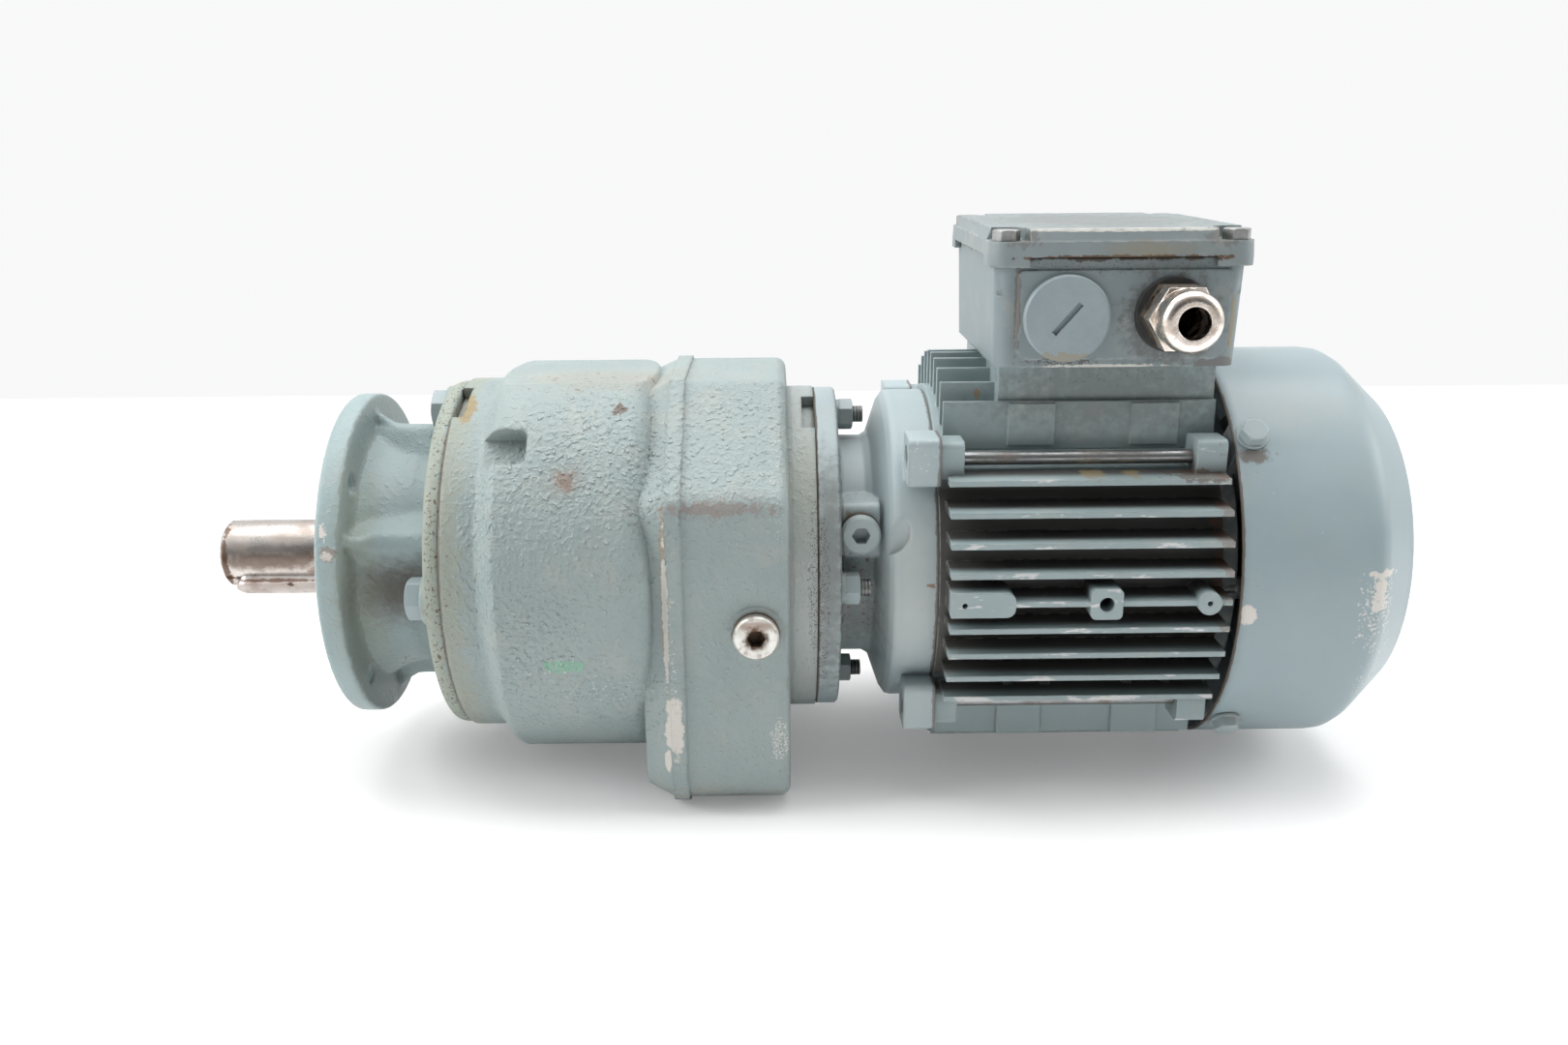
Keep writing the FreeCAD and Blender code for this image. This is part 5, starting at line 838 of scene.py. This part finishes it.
def addFlare(cast):
    # a ring under a quarter ellipse between the neck and the flange's back
    curve = []
    for degrees in range(0, 91, cast["flareStep"]):
        turn = math.radians(degrees)
        radius = cast["neckRadius"] + cast["flareRise"] * (1 - math.sin(turn))
        if radius <= cast["flareLimit"]:
            curve.append((cast["backFace"] + cast["flareRun"] * (1 - math.cos(turn)), radius))
    low = cast["neckRadius"] - cast["skinDepth"]
    front = cast["backFace"] - cast["lap"]
    outline = [(front, curve[0][1])] + curve + [(curve[-1][0], low), (front, low)]
    bpy.ops.object.select_all(action="DESELECT")
    bpy.ops.mesh.primitive_circle_add(vertices=len(outline), radius=0.01)
    flare = bpy.context.object
    for vert, (x, radius) in zip(flare.data.vertices, outline):
        vert.co = (x, 0, radius)
    bpy.ops.object.mode_set(mode="EDIT")
    bpy.ops.mesh.select_all(action="SELECT")
    bpy.ops.mesh.spin(steps=cast["spinSteps"], angle=2 * math.pi, center=(0, 0, 0), axis=(1, 0, 0))
    bpy.ops.mesh.select_all(action="SELECT")
    bpy.ops.mesh.remove_doubles(threshold=0.00001)
    bpy.ops.mesh.normals_make_consistent(inside=False)
    bpy.ops.object.mode_set(mode="OBJECT")
    return flare


def addRidge(cast, angle):
    bpy.ops.object.select_all(action="DESELECT")
    middle = (cast["ridgeLow"] + cast["ridgeHigh"]) / 2
    bpy.ops.mesh.primitive_cube_add(size=1, location=((cast["ridgeStart"] + cast["ridgeEnd"]) / 2, 0, middle))
    ridge = bpy.context.object
    ridge.scale = (cast["ridgeEnd"] - cast["ridgeStart"], cast["ridgeRoot"], cast["ridgeHigh"] - cast["ridgeLow"])
    bpy.ops.object.transform_apply(location=True, rotation=True, scale=True)
    for vert in ridge.data.vertices:
        if vert.co.z > middle:
            vert.co.y *= cast["ridgeTip"]
    ridge.data.transform(Matrix.Rotation(math.radians(angle - 90), 4, "X"))
    return ridge


def castWeight(cast, place):
    into = (place.x - cast["softFrom"]) / cast["softRamp"]
    left = (cast["softTo"] - place.x) / cast["softRamp"]
    inside = math.hypot(place.y, place.z) < cast["neckRadius"] - cast["wall"]
    return 0.0 if inside else max(0.0, min(1.0, into, left))


def applyAll(piece):
    for modifier in list(piece.modifiers):
        bpy.ops.object.modifier_apply(modifier=modifier.name)


def makeFlangeCasting():
    cast = neckCast
    piece = mergedCopy("output_flange", "outputFlangeCasting")
    extras = [addFlare(cast)] + [addRidge(cast, angle) for angle in cast["ridgeAngles"]]
    bpy.ops.object.select_all(action="DESELECT")
    for extra in extras + [piece]:
        extra.select_set(True)
    bpy.context.view_layer.objects.active = piece
    bpy.ops.object.join()
    skin = piece.modifiers.new("skin", "REMESH")
    skin.mode = "VOXEL"
    skin.voxel_size = cast["voxel"]
    applyAll(piece)
    group = piece.vertex_groups.new(name="cast")
    for vert in piece.data.vertices:
        group.add([vert.index], castWeight(cast, vert.co), "REPLACE")
    even = piece.modifiers.new("even", "SMOOTH")
    even.iterations = cast["evenSteps"]
    soft = piece.modifiers.new("soft", "SMOOTH")
    soft.iterations = cast["castSteps"]
    soft.vertex_group = "cast"
    fewer = piece.modifiers.new("fewer", "DECIMATE")
    fewer.ratio = cast["keep"]
    applyAll(piece)
    bpy.ops.object.shade_smooth()
    piece.data.materials.clear()
    piece.data.materials.append(finishes["flangeEnamel"])
    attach(piece, "housing")
    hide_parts("output_flange")
    print("flange casting made:", len(piece.data.polygons), "faces")


makeFlangeCasting()
